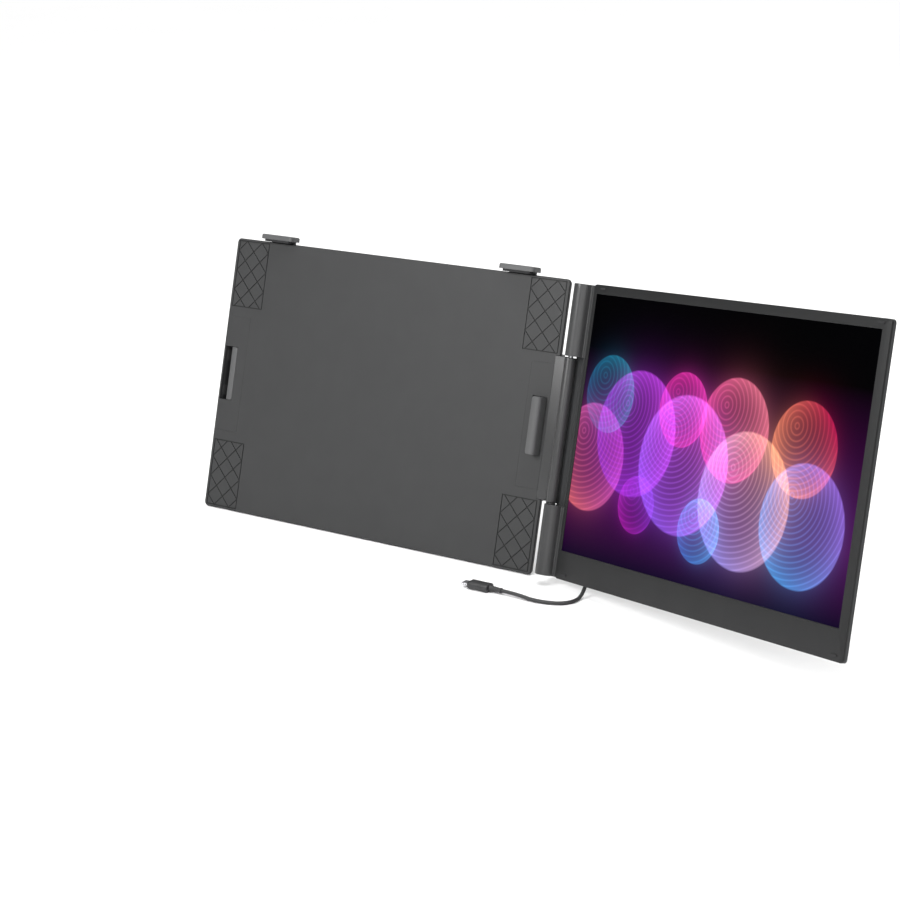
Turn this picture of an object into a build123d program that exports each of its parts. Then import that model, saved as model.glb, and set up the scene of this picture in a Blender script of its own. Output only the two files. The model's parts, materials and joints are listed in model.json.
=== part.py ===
from build123d import *
import os
from math import cos, hypot, pi, radians, tan

# Clip-on portable screen: a flat bracket with clips on its sides and top, and
# one 16-inch screen hinged to its right edge. Millimetres and degrees.
# The bracket is built upright, X right, Y back, Z up, with its front rest face
# on Y = 0, and is leaned back as the last step. The screen is built flat about
# its hinge axis, swung toward the user, and leaned with the bracket.

# How the whole stands
LEAN = 16.3
SWING = 20.7

# Bracket plate
BRACKET_W = 376.0
BRACKET_H = 252.0
BRACKET_T = 13.5
CORNER_R = 4.0
COVER_T = 2.0
RIM_T = 2.4
TAPER_IN = 4.0
BACK_WALL = 1.5
SIDE_WALL = 1.25
FRONT_EDGE = 0.7
BACK_EDGE = 1.4
FLANK_SLANT = 52.0
FLANK_Y = 3.0
FLANK_HALF_H = 62.5
FLANK_WALL_X = 2.0

# Lattice engraved in the front's four corner fields
PLAIN_HALF_H = 62.5
LATTICE_PITCH = 18.0
LATTICE_IN = 3.5
LATTICE_STRIP_W = 36.0
LATTICE_VERTEX_DOWN = 11.2
LATTICE_EDGE = 1.8
GROOVE_W = 0.9
GROOVE_D = 0.5

# Side clips and the modules that they sink into
CLIP_OUT = 9.0
CLIP_ANGLE = 30.9
CLIP_PLATE_T = 2.0
CLIP_PLATE_W = 8.4
CLIP_IN_FROM_EDGE = 8.5
CLIP_WALL_T = 3.0
CLIP_ROOT_Y = 2.7
CLIP_HALF_H = 24.6
CLIP_PAD_T = 0.6
CLIP_PIN_R = 0.9
CLIP_PIN_L = 1.4
CLIP_GAP = 0.3
LEFT_SHIFT = 5.5
MODULE_REACH = 28.0
MODULE_HALF_H = 53.7
MODULE_RIM_R = 5.0
MODULE_RIM_L = 1.4
MODULE_LIP = 2.5
MODULE_LIP_T = 1.1
WELL_MARGIN = 0.8
WELL_END_WALL = 2.0
LUG_Z = 16.3
LUG_H = 9.0

# Top clips
TOP_CLIP_IN = 52.7
CAP_W = 37.0
CAP_RISE = 2.2
CAP_H = 4.5
CAP_FRONT_Y = -7.7
CAP_BACK_Y = 6.2
CAP_R = 1.5
TOP_PAD_W = 29.0
TOP_PAD_T = 2.0
TOP_PAD_FRONT_Y = -6.4
TOP_PAD_BACK_Y = -0.5
ARM_W = 28.0
ARM_T = 1.8
ARM_Y = 3.6
ARM_DEPTH = 42.0
TOP_TRAVEL = 22.0
GUIDE_DEPTH = 36.0
GUIDE_TOP_GAP = 5.0
GUIDE_WALL = 2.0
SLIDE_GAP = 0.2
SPRING_R = 2.3
SPRING_WIRE = 0.6
SPRING_L = 34.0

# Hinge
HINGE_OFF_X = 16.0
HINGE_Y = -8.2
KNUCKLE_R = 4.4
KNUCKLE_HALF_H = 61.2
LEAF_IN = 4.7
LEAF_T = 5.0
WEB_FRONT_X = 10.5
STEEL_T = 1.5
STEEL_Y = 3.2
STEEL_IN = 38.0
STEEL_HALF_H = 60.0
SHAFT_R = 2.2
SHAFT_Z0 = 10.0
SHAFT_Z1 = 110.0
SHAFT_GAP = 0.04
CLUTCH_R = 3.1
CLUTCH_Z0 = 66.0
CLUTCH_Z1 = 96.0
CLUTCH_TAB_T = 1.0
CLUTCH_TAB_X = 44.0
BARREL_Z0 = 62.6
BARREL_TOP_STEP = 1.15
BARREL_BOTTOM_STEP = 0.65
BARREL_BORE_R = 3.3
BARREL_FAT_R = 5.4
CREASE_R = 8.0

# Screen
PANEL_W = 344.7
PANEL_H = 215.4
ACTIVE_X0 = 19.5
ACTIVE_Z0 = -98.65
BEZEL_LEFT = 3.8
BEZEL_RIGHT = 9.1
BEZEL_TOP = 7.9
BEZEL_BOTTOM = 24.0
FACE_Y = 3.0
BEZEL_T = 0.9
BEZEL_SKIRT = 1.8
BEZEL_EDGE = 0.5
SCREEN_EDGE_T = 5.6
SCREEN_WALL = 1.2
SCREEN_CORNER_R = 3.0
REAR_EDGE = 1.3
PANEL_OVER = 2.0
LCD_T = 1.5
TRAY_T = 0.4
STACK_GAP = 0.05
TROUGH_X = 1.3
TROUGH_Y = 4.9
TROUGH_DEEP_Y = 5.2
TROUGH_HEEL = 2.5

# Electronics hump on the screen's back
HUMP_X0 = 36.0
HUMP_X1 = 250.0
HUMP_Z0 = -70.0
HUMP_Z1 = 20.0
HUMP_D = 6.6
HUMP_R = 6.0
HUMP_WALL = 1.4
PORT_Y = 11.9
PORT_X_A = 50.0
PORT_X_B = 68.0
HDMI_X = 90.0
BOARD_T = 1.0
BOARD_W = 180.0
BOARD_H = 48.0
CHIP_T = 1.2
POWER_Z = 4.0
ROCKER_Z = -20.0
BUTTON_W = 3.0
BUTTON_PROUD = 0.9

# Kickstand on the bracket's back
STAND_W = 148.0
STAND_H = 108.0
STAND_T = 2.6
STAND_TOP_Z = 52.0
STAND_GAP = 0.35
STAND_PIN_R = 0.8
STAND_PIN_GAP = 0.05
POCKET_D = 3.0
NOTCH_W = 26.0
FOOT_H = 3.6
FOOT_T = 0.8
FOOT_SHORT = 48.0

# Cord and plugs
CORD_R = 1.6
SHELL_W = 8.34
SHELL_H = 2.56
SHELL_L = 6.6
SHELL_WALL = 0.35
OVERMOULD_W = 11.0
OVERMOULD_H = 6.5
OVERMOULD_L = 20.5
RELIEF_L = 12.0
RELIEF_R0 = 2.7
RELIEF_R1 = 2.0
PORT_WALL = 0.45
PORT_GAP = 0.08
FLOOR_Z = -122.0
PLUG_A_X = 161.0
PLUG_A_Y = -84.0

# Screws
SCREW_R = 1.0
SCREW_HEAD_R = 1.9
SCREW_HEAD_T = 0.9
COVER_SCREW_L = 6.0
SCREEN_SCREW_L = 4.0
SCREW_GAP = 0.02
BOSS_R = 3.0
BOSS_IN_X = 20.0
BOSS_IN_Z = 18.0

# Clearance between faces that meet, and the reach of a cutting tool
FIT = 0.1
BEYOND = 5.0

# Places worked out from the sizes above
EDGE_X = BRACKET_W / 2
EDGE_Z = BRACKET_H / 2
HINGE_X = EDGE_X + HINGE_OFF_X
LATTICE_HALF_W = EDGE_X - LATTICE_IN
LATTICE_TOP_VERTEX = EDGE_Z - LATTICE_VERTEX_DOWN
CLIP_OUTER_X = EDGE_X - CLIP_IN_FROM_EDGE
CLIP_INNER_X = CLIP_OUTER_X - CLIP_PLATE_W
MODULE_INNER_X = EDGE_X - MODULE_REACH
MODULE_END_R = EDGE_X - MODULE_RIM_R
MODULE_END_L = EDGE_X - MODULE_RIM_L
TOP_CLIP_X = EDGE_X - TOP_CLIP_IN
CAP_Z = EDGE_Z + CAP_RISE
ARM_FOOT_Z = EDGE_Z - ARM_DEPTH
GUIDE_Z0 = EDGE_Z - GUIDE_DEPTH
GUIDE_Z1 = EDGE_Z - GUIDE_TOP_GAP
LEAF_X = EDGE_X - LEAF_IN
STEEL_X = EDGE_X - STEEL_IN
SCREEN_X0 = ACTIVE_X0 - BEZEL_LEFT
SCREEN_X1 = ACTIVE_X0 + PANEL_W + BEZEL_RIGHT
SCREEN_Z0 = ACTIVE_Z0 - BEZEL_BOTTOM
SCREEN_Z1 = ACTIVE_Z0 + PANEL_H + BEZEL_TOP
SCREEN_CX = (SCREEN_X0 + SCREEN_X1) / 2
SCREEN_CZ = (SCREEN_Z0 + SCREEN_Z1) / 2
SCREEN_W = SCREEN_X1 - SCREEN_X0
SCREEN_H = SCREEN_Z1 - SCREEN_Z0
BARREL_TOP = SCREEN_Z1 - BARREL_TOP_STEP
BARREL_BOTTOM = -SCREEN_Z0 - BARREL_BOTTOM_STEP
SPLIT_Y = FACE_Y + BEZEL_SKIRT
BACK_Y = FACE_Y + SCREEN_EDGE_T
LCD_Y = FACE_Y + BEZEL_T + STACK_GAP
TRAY_Y = LCD_Y + LCD_T + STACK_GAP
HUMP_Y = BACK_Y + HUMP_D
BUTTON_Y = (BACK_Y + HUMP_Y - HUMP_WALL) / 2
CLIP_IN = CLIP_OUT * tan(radians(CLIP_ANGLE))
CLIP_TRAVEL = CLIP_OUT / cos(radians(CLIP_ANGLE))
BACK_INSIDE_Y = BRACKET_T - BACK_WALL
WELL_OUTER_X = CLIP_OUTER_X + WELL_MARGIN
WELL_HALF_H = CLIP_HALF_H + CLIP_GAP + FIT
STAND_PIN_Y = BRACKET_T - FIT - STAND_T / 2
STAND_PIN_Z = STAND_TOP_Z - STAND_T / 2


# Shared shapes

def slab(cx, cz, width, height, radius, y0, y1):
    """Rounded plate standing in the XZ plane, from y0 back to y1."""
    plane = Plane(origin=(cx, y0, cz), x_dir=(1, 0, 0), z_dir=(0, 1, 0))
    if radius > 0:
        return extrude(plane * RectangleRounded(width, height, radius), y1 - y0)
    return extrude(plane * Rectangle(width, height), y1 - y0)


def block(x0, x1, y0, y1, z0, z1):
    """Plain block between two corners."""
    centre = Pos((x0 + x1) / 2, (y0 + y1) / 2, (z0 + z1) / 2)
    return centre * Box(x1 - x0, y1 - y0, z1 - z0)


def face_of(points):
    """Flat face in the XY plane through the given corners."""
    return make_face(Polyline(*points, close=True))


def column(face, z0, z1):
    """A face of the XY plane drawn up from z0 to z1."""
    return extrude(Pos(0, 0, z0) * face, z1 - z0, dir=(0, 0, 1))


def rod_y(x, z, radius, y0, y1):
    """Round rod along Y."""
    plane = Plane(origin=(x, y0, z), x_dir=(1, 0, 0), z_dir=(0, 1, 0))
    return extrude(plane * Circle(radius), y1 - y0)


def rod_x(y, z, radius, x0, x1):
    """Round rod along X."""
    plane = Plane(origin=(x0, y, z), x_dir=(0, 1, 0), z_dir=(1, 0, 0))
    return extrude(plane * Circle(radius), x1 - x0)


def rod_z(x, y, radius, z0, z1):
    """Round rod along Z."""
    return column(Pos(x, y) * Circle(radius), z0, z1)


def mirror_x(shape):
    """The same piece on the left side."""
    return mirror(shape, about=Plane.YZ)


def place_screen(shape):
    """Carry a piece from the screen's own frame to the bracket's."""
    return Pos(HINGE_X, HINGE_Y, 0) * Rot(0, 0, -SWING) * shape


def lean(shape):
    """Lean a piece back with the bracket."""
    return Rot(-LEAN, 0, 0) * shape


def screw(x, z, head_y, length, direction):
    """Flat-head screw along Y; direction is the way its tip points."""
    head = sorted((head_y, head_y + direction * SCREW_HEAD_T))
    shank = sorted((head_y + direction * SCREW_HEAD_T, head_y + direction * length))
    return rod_y(x, z, SCREW_HEAD_R, *head) + rod_y(x, z, SCREW_R, *shank)


# Bracket covers

def clipped(points, axis, limit, side):
    """A polygon cut off at a limit on one axis, keeping the side named by its sign."""
    kept = []
    for here, after in zip(points, points[1:] + points[:1]):
        d0 = side * (here[axis] - limit)
        d1 = side * (after[axis] - limit)
        if d0 >= 0:
            kept.append(here)
        if d0 * d1 < 0:
            share = d0 / (d0 - d1)
            kept.append(tuple(p + (q - p) * share for p, q in zip(here, after)))
    return kept


def area(points):
    """Area of a polygon given by its corners."""
    pairs = zip(points, points[1:] + points[:1])
    return abs(sum(p[0] * q[1] - q[0] * p[1] for p, q in pairs)) / 2


def lattice_tiles():
    """Raised diamonds between the grooves of the upper left field, trimmed at its border."""
    step = LATTICE_PITCH / 2
    reach = step - GROOVE_W / 2 * 2 ** 0.5
    left = -LATTICE_HALF_W + GROOVE_W / 2
    right = -LATTICE_HALF_W + LATTICE_STRIP_W - GROOVE_W / 2
    low = PLAIN_HALF_H + GROOVE_W
    high = BRACKET_H / 2 - LATTICE_EDGE - GROOVE_W
    limits = [(0, left, 1), (0, right, -1), (1, low, 1), (1, high, -1)]
    tiles = []
    for i in range(int(LATTICE_STRIP_W / step) + 2):
        for j in range(int((low - LATTICE_TOP_VERTEX) / step) - 1, 4):
            if (i + j) % 2 == 0:
                continue
            x, z = -LATTICE_HALF_W + i * step, LATTICE_TOP_VERTEX + j * step
            tile = [(x - reach, z), (x, z - reach), (x + reach, z), (x, z + reach)]
            for axis, limit, side in limits:
                tile = clipped(tile, axis, limit, side)
            if len(tile) > 2 and area(tile) > 2.0:
                tiles.append(tile)
    return tiles


def lattice_grooves():
    """The engraving of all four corners, as cutting shapes for the front face."""
    left = -LATTICE_HALF_W - GROOVE_W / 2
    right = -LATTICE_HALF_W + LATTICE_STRIP_W + GROOVE_W / 2
    low, high = PLAIN_HALF_H, BRACKET_H / 2 - LATTICE_EDGE

    def ring(points):
        return Wire.make_polygon([(x, -BEYOND, z) for x, z in points], close=True)
    border = ring([(left, low), (right, low), (right, high), (left, high)])
    sheet = Face(border, [ring(tile) for tile in lattice_tiles()])
    cut = extrude(sheet, BEYOND + GROOVE_D, dir=(0, 1, 0))
    pair = [cut, mirror_x(cut)]
    return pair + [mirror(shape, about=Plane.XY) for shape in pair]


def boss_places():
    """Screw posts that hold the two bracket covers together."""
    x = EDGE_X - BOSS_IN_X
    z = EDGE_Z - BOSS_IN_Z
    return [(sx * x, sz * z) for sx in (-1, 0, 1) for sz in (-1, 1)]


def leaf_screw_places():
    """Screws that hold the hinge's steel arms to the front cover."""
    x = STEEL_X + 2 * SCREW_HEAD_R
    return [(x, sz * (STEEL_HALF_H - down)) for sz in (-1, 1) for down in (6.0, 26.0)]


def module_window(grow):
    """Openings of the front cover for the two side modules."""
    height = 2 * (MODULE_HALF_H + grow)
    cuts = []
    for side, end in ((1, MODULE_END_R), (-1, MODULE_END_L)):
        width = end - MODULE_INNER_X + 2 * grow
        cx = side * (end + MODULE_INNER_X) / 2
        cuts.append(slab(cx, 0, width, height, 1.5, -BEYOND, COVER_T + BEYOND))
    return cuts


def leaf_notch():
    """Room in the bracket's right edge for the hinge leaf."""
    half = KNUCKLE_HALF_H + 0.25
    return block(LEAF_X - FIT, BRACKET_W / 2 + BEYOND, -BEYOND, LEAF_T + FIT, -half, half)


def bracket_front_cover():
    plate = slab(0, 0, BRACKET_W, BRACKET_H, CORNER_R, 0, COVER_T)
    front = plate.edges().filter_by(lambda e: abs(e.center().Y) < 0.01)
    plate = chamfer(front, FRONT_EDGE)
    plate -= lattice_grooves()
    for x, z in boss_places():
        plate += rod_y(x, z, BOSS_R, COVER_T - 0.1, BACK_INSIDE_Y - FIT)
    for x, z in leaf_screw_places():
        plate += rod_y(x, z, BOSS_R, COVER_T - 0.1, STEEL_Y)
    plate -= module_window(FIT)
    plate -= leaf_notch()
    pilot = SCREW_R + SCREW_GAP
    for x, z in boss_places():
        plate -= rod_y(x, z, pilot, BRACKET_T - COVER_SCREW_L, BACK_INSIDE_Y + BEYOND)
    for x, z in leaf_screw_places():
        plate -= rod_y(x, z, pilot, COVER_T / 2, STEEL_Y + BEYOND)
    return plate


def back_shell(inset, y1, edge=0):
    """Tapered tray shape behind the rim, smaller all round by inset, its edge cut off."""
    def outline(y, taper):
        plane = Plane(origin=(0, y, 0), x_dir=(1, 0, 0), z_dir=(0, 1, 0))
        less = 2 * (inset + taper)
        radius = max(CORNER_R - inset, 1.0)
        return plane * RectangleRounded(BRACKET_W - less, BRACKET_H - less, radius)
    slope = TAPER_IN / (BRACKET_T - RIM_T)
    sections = [outline(RIM_T, 0), outline(y1 - edge, slope * (y1 - edge - RIM_T))]
    if edge:
        sections.append(outline(y1, slope * (y1 - edge - RIM_T) + edge))
    deep = loft(sections, ruled=True)
    y0 = COVER_T - (BEYOND if inset else 0)
    return deep + extrude(outline(y0, 0), RIM_T - y0)


def flank_cuts(inset):
    """Slanted cuts along both sides, above and below the hinge, which thin the edges."""
    x, y, far = EDGE_X - inset, FLANK_Y, BRACKET_T + BEYOND
    slant = (far - y) * tan(radians(FLANK_SLANT))
    face = face_of([(x, y), (x + 2 * BEYOND, y), (x + 2 * BEYOND, far), (x - slant, far)])
    z0 = FLANK_HALF_H - (SIDE_WALL if inset else 0)
    cut = column(face, z0, EDGE_Z + BEYOND)
    pair = [cut, mirror_x(cut)]
    return pair + [mirror(shape, about=Plane.XY) for shape in pair]


def stand_pocket():
    """Recess for the kickstand in the back, with its finger notch."""
    wide = STAND_W + 2 * STAND_GAP
    high = STAND_H + 2 * STAND_GAP
    cz = STAND_TOP_Z - STAND_H / 2
    pocket = slab(0, cz, wide, high, 1.0, BRACKET_T - POCKET_D, BRACKET_T + BEYOND)
    notch_z = STAND_TOP_Z - STAND_H - 2.0
    notch = slab(0, notch_z, NOTCH_W, 16.0, 5.0, BRACKET_T - POCKET_D + 0.5, BRACKET_T + BEYOND)
    return pocket + notch


def bracket_back_cover():
    cover = back_shell(0, BRACKET_T, BACK_EDGE) - flank_cuts(0)
    cover -= back_shell(SIDE_WALL, BACK_INSIDE_Y) - flank_cuts(FLANK_WALL_X)
    cz = STAND_TOP_Z - STAND_H / 2
    floor_y = BRACKET_T - POCKET_D - BACK_WALL
    cover += slab(0, cz - 3, STAND_W + 10, STAND_H + 16, 3.0, floor_y, BRACKET_T - 0.2)
    cover -= stand_pocket()
    reach = STAND_W / 2 + 4.5
    cover -= rod_x(STAND_PIN_Y, STAND_PIN_Z, STAND_PIN_R + STAND_PIN_GAP, -reach, reach)
    for x, z in boss_places():
        cover -= rod_y(x, z, SCREW_R + 0.2, 0, BRACKET_T + BEYOND)
        cover -= rod_y(x, z, SCREW_HEAD_R + FIT, BRACKET_T - SCREW_HEAD_T, BRACKET_T + BEYOND)
    cover -= leaf_notch()
    for x in (-TOP_CLIP_X, TOP_CLIP_X):
        slot = (x - ARM_W / 2 - 0.3, x + ARM_W / 2 + 0.3, ARM_Y - 0.3, ARM_Y + ARM_T + 0.3)
        cover -= block(*slot, ARM_FOOT_Z, BRACKET_H / 2 + BEYOND)
    return cover


def bracket_screws():
    screws = []
    for x, z in boss_places():
        screws.append(screw(x, z, BRACKET_T, COVER_SCREW_L, -1))
    return Compound(screws)


# Side clips

def clip_section():
    """Cross-section of the raised right clip: plate in front, wall outside."""
    x0, x1 = CLIP_INNER_X, CLIP_OUTER_X
    wall_x = x1 - CLIP_WALL_T
    points = [(x0, -CLIP_OUT), (x1, -CLIP_OUT), (x1, CLIP_ROOT_Y), (wall_x, CLIP_ROOT_Y)]
    points += [(wall_x, -CLIP_OUT + CLIP_PLATE_T), (x0, -CLIP_OUT + CLIP_PLATE_T)]
    face = face_of(points)
    outer = face.vertices().sort_by(Axis.Y)[:2].sort_by(Axis.X)
    return fillet(outer[1], 1.2)


def side_clip_solid():
    clip = column(clip_section(), -CLIP_HALF_H, CLIP_HALF_H)
    corners = clip.edges().filter_by(Axis.Y)
    corners = corners.filter_by(lambda e: abs(e.center().X - CLIP_INNER_X) < 0.01)
    clip = fillet(corners, 2.0)
    x, y = clip_pin_place()
    tip = CLIP_HALF_H + CLIP_PIN_L
    clip += rod_z(x, y, CLIP_PIN_R, -tip, -CLIP_HALF_H + 0.5)
    clip += rod_z(x, y, CLIP_PIN_R, CLIP_HALF_H - 0.5, tip)
    return clip


def clip_pin_place():
    """Guide pin in the middle of the wall, just above its root."""
    return CLIP_OUTER_X - CLIP_WALL_T / 2, CLIP_ROOT_Y - CLIP_PIN_R - 0.1


def side_clip_pad():
    x0 = CLIP_INNER_X + 0.4
    x1 = CLIP_OUTER_X - CLIP_WALL_T - 0.2
    y0 = -CLIP_OUT + CLIP_PLATE_T
    width = x1 - x0
    height = 2 * (CLIP_HALF_H - 1.5)
    return slab((x0 + x1) / 2, 0, width, height, 1.5, y0, y0 + CLIP_PAD_T)


def stow(shape):
    """Slide a right clip piece down its slanted way to the stowed place."""
    return Pos(-CLIP_IN, CLIP_OUT, 0) * shape


def module_solid(end, shift):
    """Flange, well and slanted guides of a side module, drawn for the right side.
    shift moves the well outward, end is the flange's outer end."""
    inner = MODULE_INNER_X
    height = 2 * MODULE_HALF_H
    solid = slab((inner + end) / 2, 0, end - inner, height, 1.4, 0, COVER_T)
    lip_h = height + 2 * MODULE_LIP
    lip_x0, lip_x1 = inner - MODULE_LIP, end - 0.5
    lip_w = lip_x1 - lip_x0
    solid += slab(lip_x0 + lip_w / 2, 0, lip_w, lip_h, 1.4, COVER_T, COVER_T + MODULE_LIP_T)
    floor = BACK_INSIDE_Y - FIT
    wall_x = CLIP_INNER_X - CLIP_IN - CLIP_GAP - 2.0 + shift
    drop = TAPER_IN * (floor - RIM_T) / (BRACKET_T - RIM_T)
    box = [(wall_x, COVER_T), (end, COVER_T), (end, RIM_T), (end - drop, floor), (wall_x, floor)]
    half = WELL_HALF_H + WELL_END_WALL
    solid += column(face_of(box), -half, half)
    solid -= Pos(shift, 0, 0) * column(well_face(), -WELL_HALF_H, WELL_HALF_H)
    for side in (-1, 1):
        z0 = side * LUG_Z - LUG_H / 2
        rib = Pos(shift, 0, 0) * column(lug_face(), z0, z0 + LUG_H)
        solid += rib
    x0, y0 = clip_pin_place()
    radius = CLIP_PIN_R + 0.15
    for side in (-1, 1):
        z0 = side * (CLIP_HALF_H + CLIP_PIN_L / 2 + 0.1) - CLIP_PIN_L / 2 - 0.1
        track = SlotCenterToCenter(CLIP_TRAVEL, radius * 2)
        middle = Pos(x0 - CLIP_IN / 2 + shift, y0 + CLIP_OUT / 2)
        track = middle * Rot(0, 0, 90 + CLIP_ANGLE) * track
        solid -= column(track, z0, z0 + CLIP_PIN_L + 0.2)
    return solid


def well_face():
    """Section of the well that the clip sinks into."""
    x0 = CLIP_INNER_X - CLIP_IN - CLIP_GAP
    step_x = CLIP_OUTER_X - CLIP_WALL_T - CLIP_IN - CLIP_GAP
    step_y = CLIP_PLATE_T + CLIP_PAD_T + 0.5
    deep = BACK_INSIDE_Y + FIT
    x1 = WELL_OUTER_X
    drop = TAPER_IN * (deep - CLIP_ROOT_Y) / (BRACKET_T - RIM_T)
    points = [(x0, -BEYOND), (x1, -BEYOND), (x1, CLIP_ROOT_Y), (x1 - drop, deep)]
    points += [(step_x, deep), (step_x, step_y), (x0, step_y)]
    return face_of(points)


def lug_face():
    """Slanted guide rib on the well's outer wall, parallel to the clip's way."""
    x1 = WELL_OUTER_X
    y0 = CLIP_ROOT_Y + CLIP_GAP
    deep = BACK_INSIDE_Y - FIT
    slant = (deep - y0) * tan(radians(CLIP_ANGLE))
    drop = TAPER_IN * (deep - CLIP_ROOT_Y) / (BRACKET_T - RIM_T)
    points = [(x1 + 0.3, y0), (x1 - 0.1, y0), (x1 - 0.1 - slant, deep), (x1 - drop + 0.3, deep)]
    return face_of(points)


# Top clips

def top_clip_solid(x):
    cy = (CAP_FRONT_Y + CAP_BACK_Y) / 2
    cap = Pos(x, cy, CAP_Z + CAP_H / 2) * Box(CAP_W, CAP_BACK_Y - CAP_FRONT_Y, CAP_H)
    cap = fillet(cap.edges().filter_by(Axis.Z), 3.0)
    cap = fillet(cap.faces().sort_by(Axis.Z)[-1].edges(), CAP_R)
    arm = slab(x, (ARM_FOOT_Z + CAP_Z + 0.5) / 2, ARM_W, CAP_Z + 0.5 - ARM_FOOT_Z, 0,
               ARM_Y, ARM_Y + ARM_T)
    foot = fillet(arm.edges().filter_by(Axis.Y).group_by(Axis.Z)[0], 2.0)
    window = slab(x, ARM_FOOT_Z + 9, 6, 10, 2.9, 0, BRACKET_T)
    return cap + (foot - window)


def top_clip_pad(x):
    z0 = CAP_Z - TOP_PAD_T
    pad = block(x - TOP_PAD_W / 2, x + TOP_PAD_W / 2, TOP_PAD_FRONT_Y, TOP_PAD_BACK_Y, z0, CAP_Z)
    return fillet(pad.edges().filter_by(Axis.Z), 1.2)


def top_clip_guides():
    guides = []
    for x in (-TOP_CLIP_X, TOP_CLIP_X):
        half = ARM_W / 2 + SLIDE_GAP
        outer = half + GUIDE_WALL
        guide = block(x - outer, x + outer, COVER_T, ARM_Y + ARM_T + 1.6, GUIDE_Z0, GUIDE_Z1)
        channel = (ARM_Y - SLIDE_GAP, ARM_Y + ARM_T + SLIDE_GAP)
        guide -= block(x - half, x + half, *channel, GUIDE_Z0 - BEYOND, GUIDE_Z1 + BEYOND)
        guides.append(guide)
    return Compound(guides)


def top_clip_springs():
    """Pull springs below each arm's foot, as plain sleeves of their outer size."""
    springs = []
    for x in (-TOP_CLIP_X, TOP_CLIP_X):
        z1 = ARM_FOOT_Z - FIT
        y = COVER_T + SPRING_R + FIT / 2
        sleeve = rod_z(x, y, SPRING_R, z1 - SPRING_L, z1)
        springs.append(sleeve - rod_z(x, y, SPRING_R - SPRING_WIRE, z1 - SPRING_L, z1 - 1.0))
    return Compound(springs)


# Hinge

def leaf_outline():
    """Section of the leaf: flush flat, bent web and round knuckle."""
    x, y = HINGE_X, HINGE_Y
    web_x = x - WEB_FRONT_X
    points = [(LEAF_X, 0), (web_x, 0), (x - 4.1, y - 1.5), (x, y), (x - 1.9, y + 4.0)]
    points += [(web_x + 1.0, LEAF_T), (LEAF_X, LEAF_T)]
    web = face_of(points)
    bend = web.vertices().filter_by(lambda v: abs(v.X - web_x) < 0.01 and abs(v.Y) < 0.01)
    web = fillet(bend, 3.0)
    return web + Pos(x, y) * Circle(KNUCKLE_R)


def steel_line():
    """Middle line of the steel arm, from the bracket out to the hinge axis."""
    mid_y = STEEL_Y + STEEL_T / 2
    bend_x = HINGE_X - WEB_FRONT_X + 0.6
    return [(STEEL_X, mid_y), (bend_x, mid_y), (HINGE_X, HINGE_Y)]


def steel_face(grow):
    """Section of the steel arm, wider by grow on each side."""
    p0, p1, p2 = [Vector(*p) for p in steel_line()]
    half = STEEL_T / 2 + grow
    way = (p2 - p1).normalized()
    side = Vector(way.Y, -way.X)
    up = Vector(0, 1)
    slope = (1 - way.X) / -way.Y
    mitre_front = p1 - up * half - Vector(half * slope, 0)
    mitre_back = p1 + up * half + Vector(half * slope, 0)
    start = Vector(p0.X - grow, p0.Y)
    corners = [start - up * half, mitre_front, p2 + side * half, p2 - side * half]
    corners += [mitre_back, start + up * half]
    return face_of([(c.X, c.Y) for c in corners])


def front_half_face():
    """Everything on the user's side of the steel arm and the axis."""
    p0, p1, p2 = steel_line()
    dx, dy = p2[0] - p1[0], p2[1] - p1[1]
    length = hypot(dx, dy)
    far = (p2[0] + dx / length * 30, p2[1] + dy / length * 30)
    return face_of([p0, p1, p2, far, (far[0] - 60, far[1]), (p0[0], far[1])])


def leaf_half(front):
    outline = leaf_outline()
    side = front_half_face()
    part = outline & side if front else outline - side
    part = part - steel_face(0.05)
    part = part - Pos(HINGE_X, HINGE_Y) * Circle(SHAFT_R + SHAFT_GAP)
    return column(part, -KNUCKLE_HALF_H, KNUCKLE_HALF_H)


def hinge_arm_plate():
    face = steel_face(0) - Pos(HINGE_X, HINGE_Y) * Circle(SHAFT_R + 0.01)
    plate = column(face, -STEEL_HALF_H, STEEL_HALF_H)
    half = WELL_HALF_H + WELL_END_WALL + 0.4
    plate -= block(STEEL_X - BEYOND, LEAF_X, 0, BRACKET_T, -half, half)
    for x, z in leaf_screw_places():
        plate -= rod_y(x, z, SCREW_R + SCREW_GAP, 0, BRACKET_T)
    return plate


def leaf_screws():
    screws = []
    for x, z in leaf_screw_places():
        screws.append(screw(x, z, STEEL_Y + STEEL_T + SCREW_HEAD_T, 4.2, -1))
    return Compound(screws)


def hinge_shaft(z0, z1):
    return rod_z(0, 0, SHAFT_R, z0, z1)


def clutch_face(grow):
    """Section of a friction clutch: a ring with a bent mounting tab."""
    y1 = BACK_Y - SCREEN_WALL - 0.1 + grow
    y0 = y1 - CLUTCH_TAB_T - 2 * grow
    end = CLUTCH_TAB_X + grow
    tab = face_of([(0.5, 0.5), (2.9, 0), (9.0, y0), (end, y0), (end, y1), (8.2, y1), (-1.0, 2.6)])
    return tab + Circle(CLUTCH_R + grow)


def hinge_clutch(side):
    z0, z1 = sorted((side * CLUTCH_Z0, side * CLUTCH_Z1))
    clutch = column(clutch_face(0) - Circle(SHAFT_R + SHAFT_GAP), z0, z1)
    for x, z in clutch_screw_places(side):
        clutch -= rod_y(x, z, SCREW_R + SCREW_GAP, 0, BRACKET_T)
    return clutch


def clutch_screw_places(side):
    middle = (CLUTCH_Z0 + CLUTCH_Z1) / 2
    return [(CLUTCH_TAB_X - 5, side * (middle + dz)) for dz in (-9, 9)]


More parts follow.
